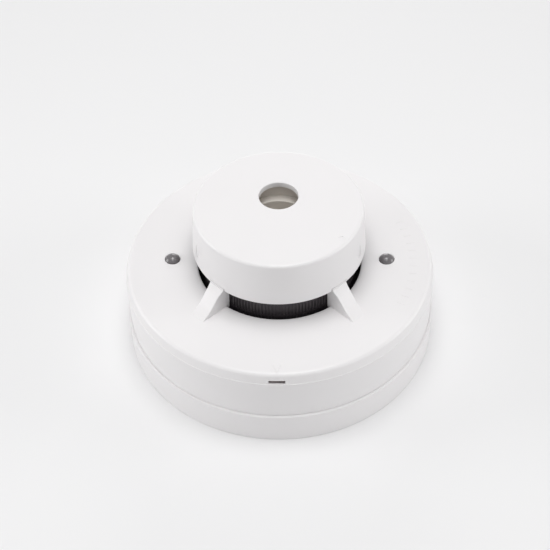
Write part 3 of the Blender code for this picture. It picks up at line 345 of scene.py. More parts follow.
def spun(profile, steps, closed=True, center=(0.0, 0.0)):
    """A shape turned about an upright axis through center, from (radius, height) points."""
    bm = bmesh.new()
    verts = [bm.verts.new((radius, 0, height)) for radius, height in profile]
    ends = verts[1:] + verts[:1] if closed else verts[1:]
    edges = [bm.edges.new(pair) for pair in zip(verts, ends)]
    bmesh.ops.spin(
        bm, geom=verts + edges, cent=(0, 0, 0), axis=(0, 0, 1), dvec=(0, 0, 0),
        angle=math.tau, steps=steps, use_merge=True, use_duplicate=False,
    )
    recalculated(bm)
    bmesh.ops.translate(bm, verts=bm.verts, vec=(*center, 0))
    return bm


def rounded(bm, offset, steps, chosen):
    """Rounds the edges that chosen picks, from (edge, middle radius, middle height)."""
    picked = []
    for edge in bm.edges:
        middle = (edge.verts[0].co + edge.verts[1].co) / 2
        if edge.is_manifold and chosen(edge, math.hypot(middle.x, middle.y), middle.z):
            picked.append(edge)
    if not picked:
        raise RuntimeError("no edge was picked for rounding")
    bmesh.ops.bevel(
        bm, geom=picked, offset=offset, offset_type="OFFSET", segments=steps, profile=0.5,
        affect="EDGES", material=-1, clamp_overlap=True,
    )
    return bm


def ring_at(radius, height):
    """Picks the round edge at one radius and height, for rounded()."""
    reach = RING_SLACK + RING_SAG * radius

    def chosen(edge, middle_radius, middle_height):
        first, last = edge.verts
        near = abs(middle_radius - radius) < reach and abs(middle_height - height) < RING_SLACK
        level = abs(first.co.z - last.co.z) < RING_SLACK
        return near and level and edge.calc_face_angle() > LEAST_BEND
    return chosen


def turned(bm, degrees, axis="Z"):
    turn = Matrix.Rotation(math.radians(degrees), 3, axis)
    bmesh.ops.rotate(bm, verts=bm.verts, cent=(0, 0, 0), matrix=turn)
    return bm


def moved(bm, offset):
    bmesh.ops.translate(bm, verts=bm.verts, vec=offset)
    return bm


def block(center, size, degrees=0.0, edge=0.0):
    """A box, turned about the object's axis after it is placed, with its edges rounded if asked."""
    bm = bmesh.new()
    bmesh.ops.create_cube(bm, size=1.0)
    bmesh.ops.scale(bm, verts=bm.verts, vec=size)
    if edge:
        bmesh.ops.bevel(
            bm, geom=bm.edges[:], offset=edge, offset_type="OFFSET", segments=2, profile=0.5,
            affect="EDGES", material=-1,
        )
    moved(bm, center)
    return turned(bm, degrees) if degrees else bm


def rod(center, radius, low, high, steps=48):
    bm = bmesh.new()
    bmesh.ops.create_cone(
        bm, cap_ends=True, segments=steps, radius1=radius, radius2=radius, depth=high - low)
    return moved(bm, (*center, (low + high) / 2))


def sector(inner, outer, low, high, start, end, steps):
    """A piece of a ring between two angles."""
    bm = bmesh.new()
    corners = ((inner, low), (outer, low), (outer, high), (inner, high))
    face = bm.faces.new([bm.verts.new((radius, 0, height)) for radius, height in corners])
    bmesh.ops.spin(
        bm, geom=[face, *face.edges, *face.verts], cent=(0, 0, 0), axis=(0, 0, 1), dvec=(0, 0, 0),
        angle=math.radians(end - start), steps=steps, use_merge=False, use_duplicate=False,
    )
    return turned(recalculated(bm), start)


def stadium(center, length, width, low, high, degrees):
    """A slot with round ends, running along X before it is turned."""
    bm = rod((0, 0), width / 2, (low - high) / 2, (high - low) / 2)
    for side in (-1, 1):
        ends = [vert for vert in bm.verts if vert.co.x * side > WELD]
        bmesh.ops.translate(bm, verts=ends, vec=(side * (length - width) / 2, 0, 0))
    moved(bm, (*center, (low + high) / 2))
    return turned(bm, degrees)


def joined(parts):
    """One bmesh that holds several closed shapes."""
    whole = bmesh.new()
    for part in parts:
        scratch = bpy.data.meshes.new("scratch")
        bmesh.ops.recalc_face_normals(part, faces=part.faces)
        part.to_mesh(scratch)
        part.free()
        whole.from_mesh(scratch)
        bpy.data.meshes.remove(scratch)
    return whole


def scratch_object(name, bm):
    mesh = bpy.data.meshes.new(name)
    bm.to_mesh(mesh)
    bm.free()
    obj = bpy.data.objects.new(name, mesh)
    bpy.context.scene.collection.objects.link(obj)
    return obj


def combined(bm, steps):
    """bm with each (operation, shapes) of steps added to it or cut from it."""
    body = scratch_object("combined_body", bm)
    tools = []
    for index, (operation, parts) in enumerate(steps):
        tool = scratch_object(f"combined_tool_{index}", joined(parts))
        tools.append(tool)
        modifier = body.modifiers.new(operation, "BOOLEAN")
        modifier.operation = operation
        modifier.solver = "EXACT"
        modifier.object = tool
    bpy.context.view_layer.update()
    graph = bpy.context.evaluated_depsgraph_get()
    result = bmesh.new()
    result.from_mesh(body.evaluated_get(graph).to_mesh())
    for obj in [body, *tools]:
        mesh = obj.data
        bpy.data.objects.remove(obj)
        bpy.data.meshes.remove(mesh)
    return result


def finished(name, bm, material, body, stands_for):
    """Makes the mesh an object of the model: shaded, painted and riding on its body."""
    bmesh.ops.remove_doubles(bm, verts=bm.verts, dist=WELD)
    mesh = bpy.data.meshes.new(name)
    bm.to_mesh(mesh)
    bm.free()
    mesh.shade_smooth()
    mesh.set_sharp_from_angle(angle=math.radians(SHARP))
    mesh.materials.append(material)
    obj = bpy.data.objects.new(name, mesh)
    bpy.context.scene.collection.objects.link(obj)
    even = obj.modifiers.new("even_shading", "WEIGHTED_NORMAL")
    even.keep_sharp = True
    even.weight = FACE_AREA_WEIGHT
    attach(obj, body)
    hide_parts(stands_for)
    return obj


def eased_bore(radius, top, edge):
    """The upper end of a cutter for a bore whose mouth is eased by edge, as (radius, height) points."""
    near = EASE_BEND * edge
    return [
        (radius, top - edge), (radius + near, top - near), (radius + edge, top),
        (radius + edge, top + CLEAR),
    ]


def polar(radius, degrees):
    return (radius * math.cos(math.radians(degrees)), radius * math.sin(math.radians(degrees)))


# ---- finishes ----

def fresh_material(name):
    made = bpy.data.materials.new(name)
    made.use_nodes = True
    tree = made.node_tree
    shader = tree.nodes["Principled BSDF"]
    return made, tree, shader


def node(tree, kind, **values):
    made = tree.nodes.new(kind)
    for name, value in values.items():
        if name in made.inputs:
            made.inputs[name].default_value = value
        else:
            setattr(made, name, value)
    return made


def noise(tree, scale, detail=3.0, stretch=(1, 1, 1)):
    """Fractal noise in the object's own metres; stretch squeezes it along an axis."""
    place = node(tree, "ShaderNodeTexCoord")
    mapping = node(tree, "ShaderNodeMapping", Scale=stretch)
    grain = node(tree, "ShaderNodeTexNoise", Scale=scale, Detail=detail)
    tree.links.new(place.outputs["Object"], mapping.inputs["Vector"])
    tree.links.new(mapping.outputs["Vector"], grain.inputs["Vector"])
    return grain.outputs["Fac"]


def spread(tree, value, low, high):
    """Maps the middle of a noise onto low to high."""
    made = node(tree, "ShaderNodeMapRange")
    for name, number in (("From Min", 0.3), ("From Max", 0.7), ("To Min", low), ("To Max", high)):
        made.inputs[name].default_value = number
    tree.links.new(value, made.inputs["Value"])
    return made.outputs["Result"]


def tinted(tree, shader, first, second, factor):
    """Base colour between two colours by factor."""
    mix = node(tree, "ShaderNodeMix", data_type="RGBA")
    mix.inputs["A"].default_value = (*first, 1)
    mix.inputs["B"].default_value = (*second, 1)
    tree.links.new(factor, mix.inputs["Factor"])
    tree.links.new(mix.outputs["Result"], shader.inputs["Base Color"])
    return mix


def relief(tree, shader, heights, distance, strength):
    bump = node(tree, "ShaderNodeBump", Strength=strength, Distance=distance)
    tree.links.new(heights, bump.inputs["Height"])
    tree.links.new(bump.outputs["Normal"], shader.inputs["Normal"])


def scaled(color, amount):
    return tuple(min(1.0, channel * amount) for channel in color)


def moulded(name, color, roughness, grain=420, drift=0.012, sheen=0.35):
    """Injection-moulded plastic: a faint tonal drift, fine spark grain and uneven gloss."""
    made, tree, shader = fresh_material(name)
    tinted(tree, shader, scaled(color, 1 - drift), scaled(color, 1 + drift), noise(tree, DRIFT_GRAIN, 4))
    rough = spread(tree, noise(tree, GLOSS_GRAIN, 2), roughness - GLOSS_DRIFT, roughness + GLOSS_DRIFT)
    tree.links.new(rough, shader.inputs["Roughness"])
    shader.inputs["Specular IOR Level"].default_value = sheen
    relief(tree, shader, noise(tree, grain, 2), SPARK_DEPTH, SPARK_STRENGTH)
    made.diffuse_color = (*color, 1)
    return made


def metal(name, color, roughness, brushed=(1, 1, 1), grain=900, depth=0.01 * MM):
    """Sheet or turned metal with a rolled grain and slight stains."""
    made, tree, shader = fresh_material(name)
    shader.inputs["Metallic"].default_value = 1.0
    tinted(tree, shader, scaled(color, 0.88), scaled(color, 1.05), noise(tree, 260, 5))
    rough = spread(tree, noise(tree, grain, 4, brushed), roughness - 0.07, roughness + 0.09)
    tree.links.new(rough, shader.inputs["Roughness"])
    relief(tree, shader, noise(tree, grain * 2, 3, brushed), depth, 0.4)
    made.diffuse_color = (*color, 1)
    return made


def glossy(name, color, roughness, coat=0.6, drift=0.06, grain=700):
    """Clear-skinned resin or lens plastic."""
    made, tree, shader = fresh_material(name)
    tinted(tree, shader, scaled(color, 1 - drift), scaled(color, 1 + drift), noise(tree, grain, 3))
    rough = spread(tree, noise(tree, 1500, 3), roughness * 0.8, roughness * 1.25)
    tree.links.new(rough, shader.inputs["Roughness"])
    shader.inputs["Coat Weight"].default_value = coat
    shader.inputs["Coat Roughness"].default_value = 0.06
    relief(tree, shader, noise(tree, 1800, 2), 0.008 * MM, 0.2)
    made.diffuse_color = (*color, 1)
    return made


def board_material(name, color):
    """Solder mask over copper tracks, with round pads."""
    made, tree, shader = fresh_material(name)
    place = node(tree, "ShaderNodeTexCoord")
    tracks = node(tree, "ShaderNodeTexBrick", Scale=260.0, offset=0.5, squash=1.0)
    for label, number in (("Mortar Size", 0.06), ("Brick Width", 1.7), ("Row Height", 0.55)):
        tracks.inputs[label].default_value = number
    tree.links.new(place.outputs["Object"], tracks.inputs["Vector"])
    pads = node(tree, "ShaderNodeTexVoronoi", Scale=190.0, Randomness=0.75)
    tree.links.new(place.outputs["Object"], pads.inputs["Vector"])
    round_pad = node(tree, "ShaderNodeMath", operation="LESS_THAN")
    round_pad.inputs[1].default_value = 0.16
    tree.links.new(pads.outputs["Distance"], round_pad.inputs[0])
    mask = tinted(tree, shader, color, scaled(color, 2.1), tracks.outputs["Fac"])
    tin = node(tree, "ShaderNodeMix", data_type="RGBA")
    tin.inputs["B"].default_value = (0.6, 0.6, 0.58, 1)
    tree.links.new(mask.outputs["Result"], tin.inputs["A"])
    tree.links.new(round_pad.outputs["Value"], tin.inputs["Factor"])
    tree.links.new(tin.outputs["Result"], shader.inputs["Base Color"])
    tree.links.new(round_pad.outputs["Value"], shader.inputs["Metallic"])
    shader.inputs["Roughness"].default_value = 0.38
    relief(tree, shader, tracks.outputs["Fac"], 0.03 * MM, 0.5)
    made.diffuse_color = (*color, 1)
    return made


def floor_material(color):
    made, tree, shader = fresh_material("studio_floor")
    tinted(tree, shader, scaled(color, 0.994), scaled(color, 1.006), noise(tree, 9, 3))
    shader.inputs["Roughness"].default_value = 0.7
    shader.inputs["Specular IOR Level"].default_value = 0.2
    return made


def shared(name, make):
    """A material made once and used by several pieces."""
    return bpy.data.materials.get(name) or make(name)


def shell_material():
    color = tuple(bpy.context.scene.detector_colours.shell)
    return shared("white_moulded_plastic", lambda name: moulded(name, color, 0.32, sheen=0.42))


def black_material():
    color = tuple(bpy.context.scene.detector_colours.black)
    return shared("black_moulded_plastic", lambda name: moulded(
        name, color, 0.46, grain=1800, drift=0.1, sheen=0.5))


# ---- pieces ----

class DETECTOR_OT_mounting_base(bpy.types.Operator):
    """Build the round base with its bayonet ledges, fixing slots and cable entry"""

    bl_idname = "detector.mounting_base"
    bl_label = "Mounting base"

    def execute(self, context):
        sizes = context.scene.detector_sizes
        bm = spun([
            (CABLE_ENTRY_RADIUS, 0), (BASE_RADIUS, 0), (BASE_RADIUS, BASE_HEIGHT - SEAM_DROP),
            (BASE_RADIUS - sizes.seam_edge, BASE_HEIGHT), (BASE_BORE, BASE_HEIGHT),
            (BASE_BORE, BASE_FLOOR), (COLLAR_RADIUS, BASE_FLOOR), (COLLAR_RADIUS, COLLAR_TOP),
            (CABLE_ENTRY_RADIUS, COLLAR_TOP),
        ], sizes.round_steps)
        rounded(bm, sizes.base_foot_edge, 4, ring_at(BASE_RADIUS, 0))
        rounded(bm, COLLAR_EDGE, 3, ring_at(COLLAR_RADIUS, COLLAR_TOP))
        rounded(bm, COLLAR_EDGE, 3, ring_at(CABLE_ENTRY_RADIUS, 0))
        rounded(bm, BASE_BORE_EDGE, 2, ring_at(BASE_BORE, BASE_HEIGHT))
        bosses = [
            block((TERMINAL_RADIUS, 0, (BASE_FLOOR / 2 + BOSS_TOP) / 2),
                  (BOSS_SIDE, BOSS_SIDE, BOSS_TOP - BASE_FLOOR / 2), angle, BOSS_EDGE)
            for angle in TERMINAL_ANGLES
        ]
        ledges = [
            sector(LEDGE_BORE, BASE_BORE + BASE_WALL / 2, LEDGE_LOW, LEDGE_TOP,
                   angle - LEDGE_SPAN / 2, angle + LEDGE_SPAN / 2, 24)
            for angle in BAYONET_ANGLES
        ]
        slots = [
            stadium((FIXING_PITCH_RADIUS, 0), FIXING_LENGTH, FIXING_WIDTH, -CLEAR,
                    BASE_FLOOR + CLEAR, angle)
            for angle in FIXING_ANGLES
        ]
        pilots = [
            rod(polar(TERMINAL_RADIUS, angle), PILOT_RADIUS, PILOT_FLOOR, BOSS_TOP + CLEAR)
            for angle in TERMINAL_ANGLES
        ]
        groove = sector(BASE_BORE - CLEAR, BASE_BORE + GROOVE_DEPTH, GROOVE_LOW, GROOVE_TOP,
                        GROOVE_START, GROOVE_END, 24)
        bm = combined(bm, [
            ("UNION", bosses), ("UNION", ledges), ("DIFFERENCE", slots), ("DIFFERENCE", pilots),
            ("DIFFERENCE", [groove]),
        ])
        finished("base_shell", bm, shell_material(), "base", "mounting_base")
        return {"FINISHED"}


def strut(angle):
    """One leg of the cap: a tab in the cap's notch, a shoulder, and a slope down to the dish."""
    inner = CAP_RIM_RADIUS - STRUT_DEPTH
    half = STRUT_FOOT_WIDTH / 2
    bends = [(CAP_RIM_RADIUS + out, CAP_RIM + up) for out, up in (STRUT_TOE, STRUT_SHOULDER)]
    bm = bmesh.new()
    outline = [
        (inner, STRUT_TOP), (inner, CEILING), (DISH_RADIUS, CEILING), (DISH_RADIUS, HEAD_TOP), *bends,
        (CAP_RIM_RADIUS, CAP_RIM + STRUT_TAB_FOOT), (CAP_RIM_RADIUS, STRUT_TOP),
    ]
    face = bm.faces.new([bm.verts.new((radius, -half, height)) for radius, height in outline])
    swept = bmesh.ops.extrude_face_region(bm, geom=[face])["geom"]
    far = [item for item in swept if isinstance(item, bmesh.types.BMVert)]
    bmesh.ops.translate(bm, verts=far, vec=(0, 2 * half, 0))
    top = [vert for vert in bm.verts if vert.co.z > CAP_RIM]
    bmesh.ops.scale(bm, verts=top, vec=(1, STRUT_TOP_WIDTH / STRUT_FOOT_WIDTH, 1))
    bmesh.ops.recalc_face_normals(bm, faces=bm.faces)

    def across(radius, height):
        def chosen(edge, _, middle_height):
            straight = all(abs(vert.co.x - radius) < WELD for vert in edge.verts)
            return straight and abs(middle_height - height) < WELD
        return chosen

    for radius, height in bends:
        rounded(bm, STRUT_ROUNDING, 4, across(radius, height))
    sides = [
        edge for edge in bm.edges
        if min(vert.co.x for vert in edge.verts) > CAP_RIM_RADIUS - WELD
        and max(vert.co.z for vert in edge.verts) < CAP_RIM + 2 * STRUT_TAB_FOOT
        and min(vert.co.z for vert in edge.verts) > HEAD_TOP - WELD
        and edge.verts[0].co.y * edge.verts[1].co.y > 0
        and edge.calc_face_angle() > math.radians(STRUT_SIDE_ANGLE)
    ]
    bmesh.ops.bevel(
        bm, geom=sides, offset=STRUT_SIDE_EDGE, offset_type="OFFSET", segments=3, profile=0.5,
        affect="EDGES", material=-1,
    )
    return turned(bm, angle)


class DETECTOR_OT_head_cover(bpy.types.Operator):
    """Build the head's cover with its dish, struts, tool slot, chevron and raised marks"""

    bl_idname = "detector.head_cover"
    bl_label = "Head cover"

    def execute(self, context):
        sizes = context.scene.detector_sizes
        lip_top = HEAD_TOP - DISH_DEPTH
        band = HEAD_RADIUS - SHOULDER_LEDGE
        bm = spun([
            (HEAD_BORE, HEAD_FOOT), (HEAD_BORE, CEILING), (DISH_RADIUS, CEILING),
            (LIP_RADIUS, CEILING - DISH_DEPTH), (LIP_RADIUS, lip_top), (DISH_RADIUS, HEAD_TOP),
            (CORNER_RADIUS, HEAD_TOP), (band, SHOULDER_LEVEL), (HEAD_RADIUS, SHOULDER_LEVEL),
            (HEAD_RADIUS, HEAD_FOOT),
        ], sizes.round_steps)
        rounded(bm, sizes.shoulder_edge, 6, ring_at(CORNER_RADIUS, HEAD_TOP))
        rounded(bm, sizes.lip_edge, 4, ring_at(LIP_RADIUS, lip_top))
        rounded(bm, CEILING_EDGE, 3, ring_at(HEAD_BORE, CEILING))
        rounded(bm, SHOULDER_LEDGE_EDGE, 2, ring_at(HEAD_RADIUS, SHOULDER_LEVEL))
        snaps = [
            sector(SNAP_BORE, HEAD_BORE + CLEAR, SNAP_LOW, SNAP_TOP,
                   angle - SNAP_SPAN / 2, angle + SNAP_SPAN / 2, 8)
            for angle in SNAP_ANGLES
        ]
        marks = [
            block((MARK_RADIUS, 0, HEAD_TOP + MARK_RISE - MARK_SIZE[2] / 2), MARK_SIZE,
                  MARK_FIRST + index * MARK_STEP, MARK_EDGE)
            for index in range(MARK_COUNT)
        ]
        width, _, height = SLOT_SIZE
        slot = block((0, -HEAD_RADIUS, SLOT_LEVEL), SLOT_SIZE, 0, SLOT_EDGE)
        undercut = block((0, SLOT_UNDERCUT / 2, height / 2), (width, SLOT_UNDERCUT, height))
        turned(undercut, -SLOT_UNDERCUT_LEAN, "X")
        moved(undercut, (0, SLOT_SILL - HEAD_RADIUS, SLOT_LEVEL - height / 2))
        chevron = []
        for side in (-1, 1):
            stroke = block((0, 0, 0), (CHEVRON_STROKE, CHEVRON_LENGTH, 2 * CHEVRON_DEPTH))
            moved(stroke, (0, CHEVRON_LENGTH / 2, 0))
            turned(stroke, side * CHEVRON_LEAN)
            chevron.append(moved(stroke, (0, -CHEVRON_RADIUS - CHEVRON_LENGTH / 2, HEAD_TOP)))
        holes = []
        for angle in LENS_ANGLES.values():
            place = polar(LENS_PLACE_RADIUS, angle)
            holes.append(rod(place, LENS_HOLE_RADIUS, CEILING - 2 * CLEAR, HEAD_TOP + CLEAR, 64))
        bm = combined(bm, [
            ("UNION", [strut(angle) for angle in STRUT_ANGLES]), ("UNION", snaps), ("UNION", marks),
            ("DIFFERENCE", [slot]), ("DIFFERENCE", [undercut]), ("DIFFERENCE", chevron[:1]),
            ("DIFFERENCE", chevron[1:]), ("DIFFERENCE", holes),
        ])
        finished("cover_shell", bm, shell_material(), "head", "head_cover")
        return {"FINISHED"}


class DETECTOR_OT_sensor_cap(bpy.types.Operator):
    """Build the raised cap with its hole, strut notches, dimples and gate mark"""

    bl_idname = "detector.sensor_cap"
    bl_label = "Sensor cap"

    def execute(self, context):
        sizes = context.scene.detector_sizes
        top_radius = CAP_RIM_RADIUS - CAP_DRAFT
        bm = spun([
            (0, CAP_CEILING), (top_radius - CAP_WALL, CAP_CEILING),
            (CAP_RIM_RADIUS - CAP_WALL, CAP_RIM), (CAP_RIM_RADIUS, CAP_RIM), (top_radius, CAP_TOP),
            (0, CAP_TOP),
        ], sizes.round_steps, closed=False)
        rounded(bm, sizes.cap_edge, 6, ring_at(top_radius, CAP_TOP))
        rounded(bm, CAP_CEILING_EDGE, 3, ring_at(top_radius - CAP_WALL, CAP_CEILING))
        rounded(bm, CAP_RIM_EDGE, 3, ring_at(CAP_RIM_RADIUS, CAP_RIM))
        rounded(bm, CAP_RIM_EDGE, 2, ring_at(CAP_RIM_RADIUS - CAP_WALL, CAP_RIM))
        hole = spun([
            (0, CAP_CEILING - CLEAR), (HOLE_RADIUS, CAP_CEILING - CLEAR),
            *eased_bore(HOLE_RADIUS, CAP_TOP, sizes.hole_edge), (0, CAP_TOP + CLEAR),
        ], 128, closed=False, center=HOLE_PLACE)
        notch_place = (CAP_RIM_RADIUS, 0, CAP_RIM + (NOTCH_HEIGHT - CLEAR) / 2)
        notches = [
            block(notch_place, (3 * CAP_WALL, NOTCH_WIDTH, NOTCH_HEIGHT + CLEAR), angle)
            for angle in STRUT_ANGLES
        ]
        dimples = []
        side_radius = CAP_RIM_RADIUS - CAP_DRAFT * (DIMPLE_LEVEL - CAP_RIM) / (CAP_TOP - CAP_RIM)
        for angle in DIMPLE_ANGLES:
            oval = bmesh.new()
            bmesh.ops.create_uvsphere(oval, u_segments=48, v_segments=24, radius=0.5)
            bmesh.ops.scale(oval, verts=oval.verts, vec=DIMPLE_SIZE)
            dimples.append(turned(moved(oval, (side_radius, 0, DIMPLE_LEVEL)), angle))
        gate_place = polar(GATE_PLACE_RADIUS, GATE_ANGLE)
        gate = rod(gate_place, GATE_RADIUS, CAP_TOP - GATE_DEPTH, CAP_TOP + CLEAR)
        bm = combined(bm, [
            ("DIFFERENCE", [hole]), ("DIFFERENCE", notches), ("DIFFERENCE", dimples),
            ("DIFFERENCE", [gate]),
        ])
        finished("cap_shell", bm, shell_material(), "head", "sensor_cap")
        return {"FINISHED"}


class DETECTOR_OT_insect_screen(bpy.types.Operator):
    """Build the black screen of fine upright ribs"""

    bl_idname = "detector.insect_screen"
    bl_label = "Insect screen"

    def execute(self, context):
        count = context.scene.detector_sizes.rib_count
        first = SCREEN_LOW.z + SCREEN_FOOT
        pitch = (SCREEN_HIGH.z - SCREEN_BAND - first) / SCREEN_ROWS
        levels = [SCREEN_LOW.z, first]
        for row in range(SCREEN_ROWS):
            levels += [first + (row + 1) * pitch - SCREEN_BAND / 2, first + (row + 1) * pitch]
        levels[-1] = SCREEN_HIGH.z
        levels[-2] = SCREEN_HIGH.z - SCREEN_BAND
        bm = spun([(SCREEN_RADIUS, level) for level in levels], 2 * count, closed=False)
        windows = []
        for face in bm.faces:
            middle = face.calc_center_median()
            column = int(math.degrees(math.atan2(middle.y, middle.x)) % 360 / (180 / count))
            row = sum(middle.z > level for level in levels) - 1
            if column % 2 and row % 2:
                windows.append(face)
        bmesh.ops.delete(bm, geom=windows, context="FACES")
        bmesh.ops.solidify(bm, geom=bm.faces[:], thickness=SCREEN_WALL)
        recalculated(bm)
        inner = SCREEN_RADIUS - SCREEN_WALL
        outer = inner + SCREEN_BACKING
        low, high = SCREEN_LOW.z + CLEAR, SCREEN_HIGH.z - SCREEN_BAND / 2
        backing = spun([(inner, low), (outer, low), (outer, high), (inner, high)], 2 * count)
        bm = combined(bm, [("UNION", [backing])])
        finished("screen_ribs", bm, black_material(), "head", "insect_screen")
        return {"FINISHED"}


class DETECTOR_OT_thermistor(bpy.types.Operator):
    """Build the thermistor's carrier and its bead"""

    bl_idname = "detector.thermistor"
    bl_label = "Thermistor and carrier"

    def execute(self, context):
        colours = context.scene.detector_colours
        bore, ring, ring_top = COLLAR_RING
        disc = spun([
            (0, CARRIER_TOP), (CARRIER_RADIUS, CARRIER_TOP), (CARRIER_RADIUS, CARRIER_LEVEL),
            (0, CARRIER_LEVEL),
        ], 160, closed=False)
        rounded(disc, CARRIER_EDGE, 3, ring_at(CARRIER_RADIUS, CARRIER_TOP))
        sunk = (CARRIER_TOP + CARRIER_LEVEL) / 2
        well = spun([
            (0, ring_top), (ring, ring_top), (ring, CARRIER_HIGH.z),
            (ring + CHIMNEY_WALL, CARRIER_HIGH.z), (ring + CHIMNEY_WALL, sunk), (WELL_RADIUS, sunk),
            (WELL_RADIUS, WELL_BOTTOM), (0, WELL_BOTTOM),
        ], 160, closed=False)
        well_bore = spun([
            (0, WELL_FLOOR), (bore, WELL_FLOOR), *eased_bore(bore, ring_top, COLLAR_RING_EDGE),
            (0, ring_top + CLEAR),
        ], 160, closed=False)
        riser = rod(HOLE_PLACE, RISER_RADIUS, CARRIER_LOW.z, (WELL_BOTTOM + WELL_FLOOR) / 2)
        riser_bore = rod(HOLE_PLACE, RISER_BORE, CARRIER_LOW.z - CLEAR, WELL_FLOOR + CLEAR)
        bm = combined(disc, [
            ("UNION", [well]), ("DIFFERENCE", [well_bore]), ("UNION", [riser]),
            ("DIFFERENCE", [riser_bore]),
        ])
        natural = shared("natural_plastic", lambda name: moulded(
            name, tuple(colours.carrier), 0.5, drift=0.02, sheen=0.4))
        finished("carrier_disc", bm, natural, "head", "thermistor_carrier")

        bead = bmesh.new()
        bmesh.ops.create_uvsphere(bead, u_segments=48, v_segments=24, radius=BEAD_RADIUS)
        moved(bead, (*HOLE_PLACE, BEAD_LEVEL))
        leads = [
            rod((HOLE_PLACE[0] + side * LEAD_SPREAD, HOLE_PLACE[1]), LEAD_RADIUS,
                BEAD_LOW.z, BEAD_LEVEL, 24)
            for side in (-1, 1)
        ]
        bm = combined(bead, [("UNION", leads)])
        epoxy = shared("thermistor_epoxy", lambda name: glossy(name, (0.3, 0.25, 0.2), 0.3, coat=0.3))
        finished("thermistor_bead", bm, epoxy, "head", "thermistor")
        return {"FINISHED"}


class DETECTOR_OT_indicators(bpy.types.Operator):
    """Build the two light pipes whose smoked domes show on the top ring"""

    bl_idname = "detector.indicators"
    bl_label = "Indicators"

    def execute(self, context):
        smoked = shared("smoked_lens", lambda name: glossy(
            name, tuple(context.scene.detector_colours.lens), 0.22, coat=0.5))
        for pipe, angle in LENS_ANGLES.items():
            low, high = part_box(pipe)
            sphere = (LENS_RADIUS ** 2 + PIPE_DOME ** 2) / (2 * PIPE_DOME)
            profile = []
            reach = math.asin(LENS_RADIUS / sphere)
            for step in range(PIPE_DOME_STEPS + 1):
                tilt = reach * step / PIPE_DOME_STEPS
                profile.append((sphere * math.sin(tilt), high.z - sphere + sphere * math.cos(tilt)))
            profile[0] = (0, high.z)
            bm = spun(profile + [
                (LENS_RADIUS, PIPE_FLANGE_TOP), (PIPE_FLANGE_RADIUS, PIPE_FLANGE_TOP),
                (PIPE_FLANGE_RADIUS, PIPE_FLANGE_FOOT), (PIPE_STEM_RADIUS, PIPE_FLANGE_FOOT),
                (PIPE_STEM_RADIUS, low.z), (0, low.z),
            ], 64, closed=False, center=polar(LENS_PLACE_RADIUS, angle))
            finished(pipe.replace("light_pipe", "lens"), bm, smoked, "head", pipe)
        return {"FINISHED"}


class DETECTOR_OT_inner_parts(bpy.types.Operator):
    """Finish the inner parts that keep the frame's shapes"""

    bl_idname = "detector.inner_parts"
    bl_label = "Inner parts"

    def execute(self, context):
        colours = context.scene.detector_colours
        black = black_material()
        brass = metal("contact_brass", (0.72, 0.55, 0.25), 0.28)
        steel = metal("zinc_plated_steel", (0.66, 0.67, 0.7), 0.3)
        spring = metal("spring_steel", (0.55, 0.55, 0.56), 0.25)
        tin = metal("tin_plate", (0.64, 0.65, 0.67), 0.34, (1, 6, 1))
        can = metal("aluminium_can", (0.75, 0.76, 0.78), 0.3, (1, 1, 8))
        finishes = {
            "base_contact": brass, "contact_blade": brass, "wire_clamp": steel,
            "terminal_screw": steel, "pcb_screw": steel, "latch_spring": spring,
            "screening_can": tin, "buffer_capacitor": can,
            "head_body": shell_material(), "chamber": black,
            "lock_latch": moulded("grey_plastic", (0.66, 0.58, 0.58), 0.5),
            "pcb": board_material("circuit_board", tuple(colours.board)),
            "microcontroller": moulded(
                "package_epoxy", (0.02, 0.02, 0.022), 0.55, grain=3000, drift=0.15),
            "reed_switch": glossy("reed_glass", (0.2, 0.32, 0.27), 0.08, coat=0.9),
            "status_led": glossy("led_package", (0.88, 0.86, 0.78), 0.3, drift=0.03),
            "ir_emitter": glossy("emitter_epoxy", (0.05, 0.05, 0.09), 0.12, coat=0.8),
            "photodiode": glossy("receiver_epoxy", (0.02, 0.018, 0.02), 0.12, coat=0.8),
        }
        for name, part in frame["nodes"].items():
            if part.hide_render:
                continue
            fits = [key for key in finishes if name.startswith(key)]
            if not fits:
                raise RuntimeError(f"{name} has no finish")
            part.data.materials.clear()
            part.data.materials.append(finishes[max(fits, key=len)])
        return {"FINISHED"}


# ---- studio ----

def panel_light(name, power, bearing, height):
    """A round soft light, bearing degrees round from the front and height degrees up."""
    data = bpy.data.lights.new(name, "AREA")
    data.shape = "DISK"
    data.size = PANEL_SIZE
    data.energy = power
    light = bpy.data.objects.new(name, data)
    bpy.context.scene.collection.objects.link(light)
    turn, lift = math.radians(bearing), math.radians(height)
    level = math.cos(lift)
    away = Vector((math.sin(turn) * level, -math.cos(turn) * level, math.sin(lift)))
    light.location = Vector((0, 0, PANEL_AIM)) + PANEL_DISTANCE * away
    light.rotation_euler = away.to_track_quat("Z", "Y").to_euler()


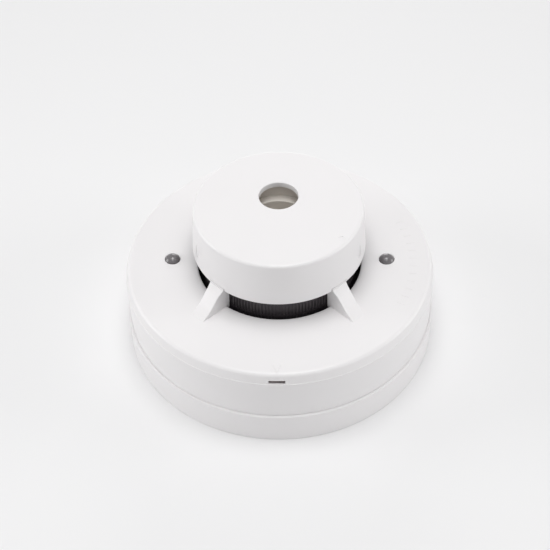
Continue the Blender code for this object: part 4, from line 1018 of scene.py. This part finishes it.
class DETECTOR_OT_studio(bpy.types.Operator):
    """Set the pale floor, the soft lights and the camera"""

    bl_idname = "detector.studio"
    bl_label = "Studio"

    def execute(self, context):
        scene = context.scene
        studio = scene.detector_studio
        bm = bmesh.new()
        bmesh.ops.create_grid(bm, x_segments=2, y_segments=2, size=FLOOR_HALF)
        mesh = bpy.data.meshes.new("studio_floor")
        bm.to_mesh(mesh)
        bm.free()
        mesh.materials.append(floor_material(tuple(scene.detector_colours.floor)))
        floor = bpy.data.objects.new("studio_floor", mesh)
        scene.collection.objects.link(floor)

        world = bpy.data.worlds.new("studio_sky")
        world.use_nodes = True
        sky = world.node_tree.nodes["Background"]
        sky.inputs["Color"].default_value = (1, 1, 1, 1)
        sky.inputs["Strength"].default_value = studio.sky
        scene.world = world
        for name, setting, bearing, height in PANELS:
            panel_light(name, getattr(studio, setting), bearing, height)
        scene.view_settings.view_transform = "Standard"

        data = bpy.data.cameras.new("studio_camera")
        data.lens = studio.lens
        data.sensor_width = SENSOR_WIDTH
        data.clip_start = 0.01
        data.clip_end = 20
        camera = bpy.data.objects.new("studio_camera", data)
        scene.collection.objects.link(camera)
        turn = Matrix.Rotation(math.radians(CAMERA_BEARING), 4, "Z")
        tilt = Matrix.Rotation(math.radians(90 - CAMERA_HEIGHT), 4, "X")
        roll = Matrix.Rotation(math.radians(CAMERA_ROLL), 4, "Z")
        camera.matrix_world = turn @ Matrix.Translation(CAMERA_PLACE) @ tilt @ roll
        scene.camera = camera
        return {"FINISHED"}


# ---- add-on ----

class DETECTOR_PT_sidebar(bpy.types.Panel):
    bl_idname = "DETECTOR_PT_sidebar"
    bl_label = "Heat detector"
    bl_space_type = "VIEW_3D"
    bl_region_type = "UI"
    bl_category = "Detector"

    def draw(self, context):
        for group in (context.scene.detector_sizes, context.scene.detector_colours,
                      context.scene.detector_studio):
            box = self.layout.box()
            for name in group.__annotations__:
                box.prop(group, name)
        for operator in OPERATORS:
            self.layout.operator(operator.bl_idname)


OPERATORS = (
    DETECTOR_OT_mounting_base, DETECTOR_OT_head_cover, DETECTOR_OT_sensor_cap,
    DETECTOR_OT_insect_screen, DETECTOR_OT_thermistor, DETECTOR_OT_indicators,
    DETECTOR_OT_inner_parts, DETECTOR_OT_studio,
)
CLASSES = (DetectorSizes, DetectorColours, StudioSettings, *OPERATORS, DETECTOR_PT_sidebar)


def register():
    for cls in CLASSES:
        bpy.utils.register_class(cls)
    bpy.types.Scene.detector_sizes = PointerProperty(type=DetectorSizes)
    bpy.types.Scene.detector_colours = PointerProperty(type=DetectorColours)
    bpy.types.Scene.detector_studio = PointerProperty(type=StudioSettings)


def unregister():
    del bpy.types.Scene.detector_studio
    del bpy.types.Scene.detector_colours
    del bpy.types.Scene.detector_sizes
    for cls in reversed(CLASSES):
        bpy.utils.unregister_class(cls)


def main():
    register()
    for operator in OPERATORS:
        group, name = operator.bl_idname.split(".")
        getattr(getattr(bpy.ops, group), name)()


if __name__ == "__main__":
    main()
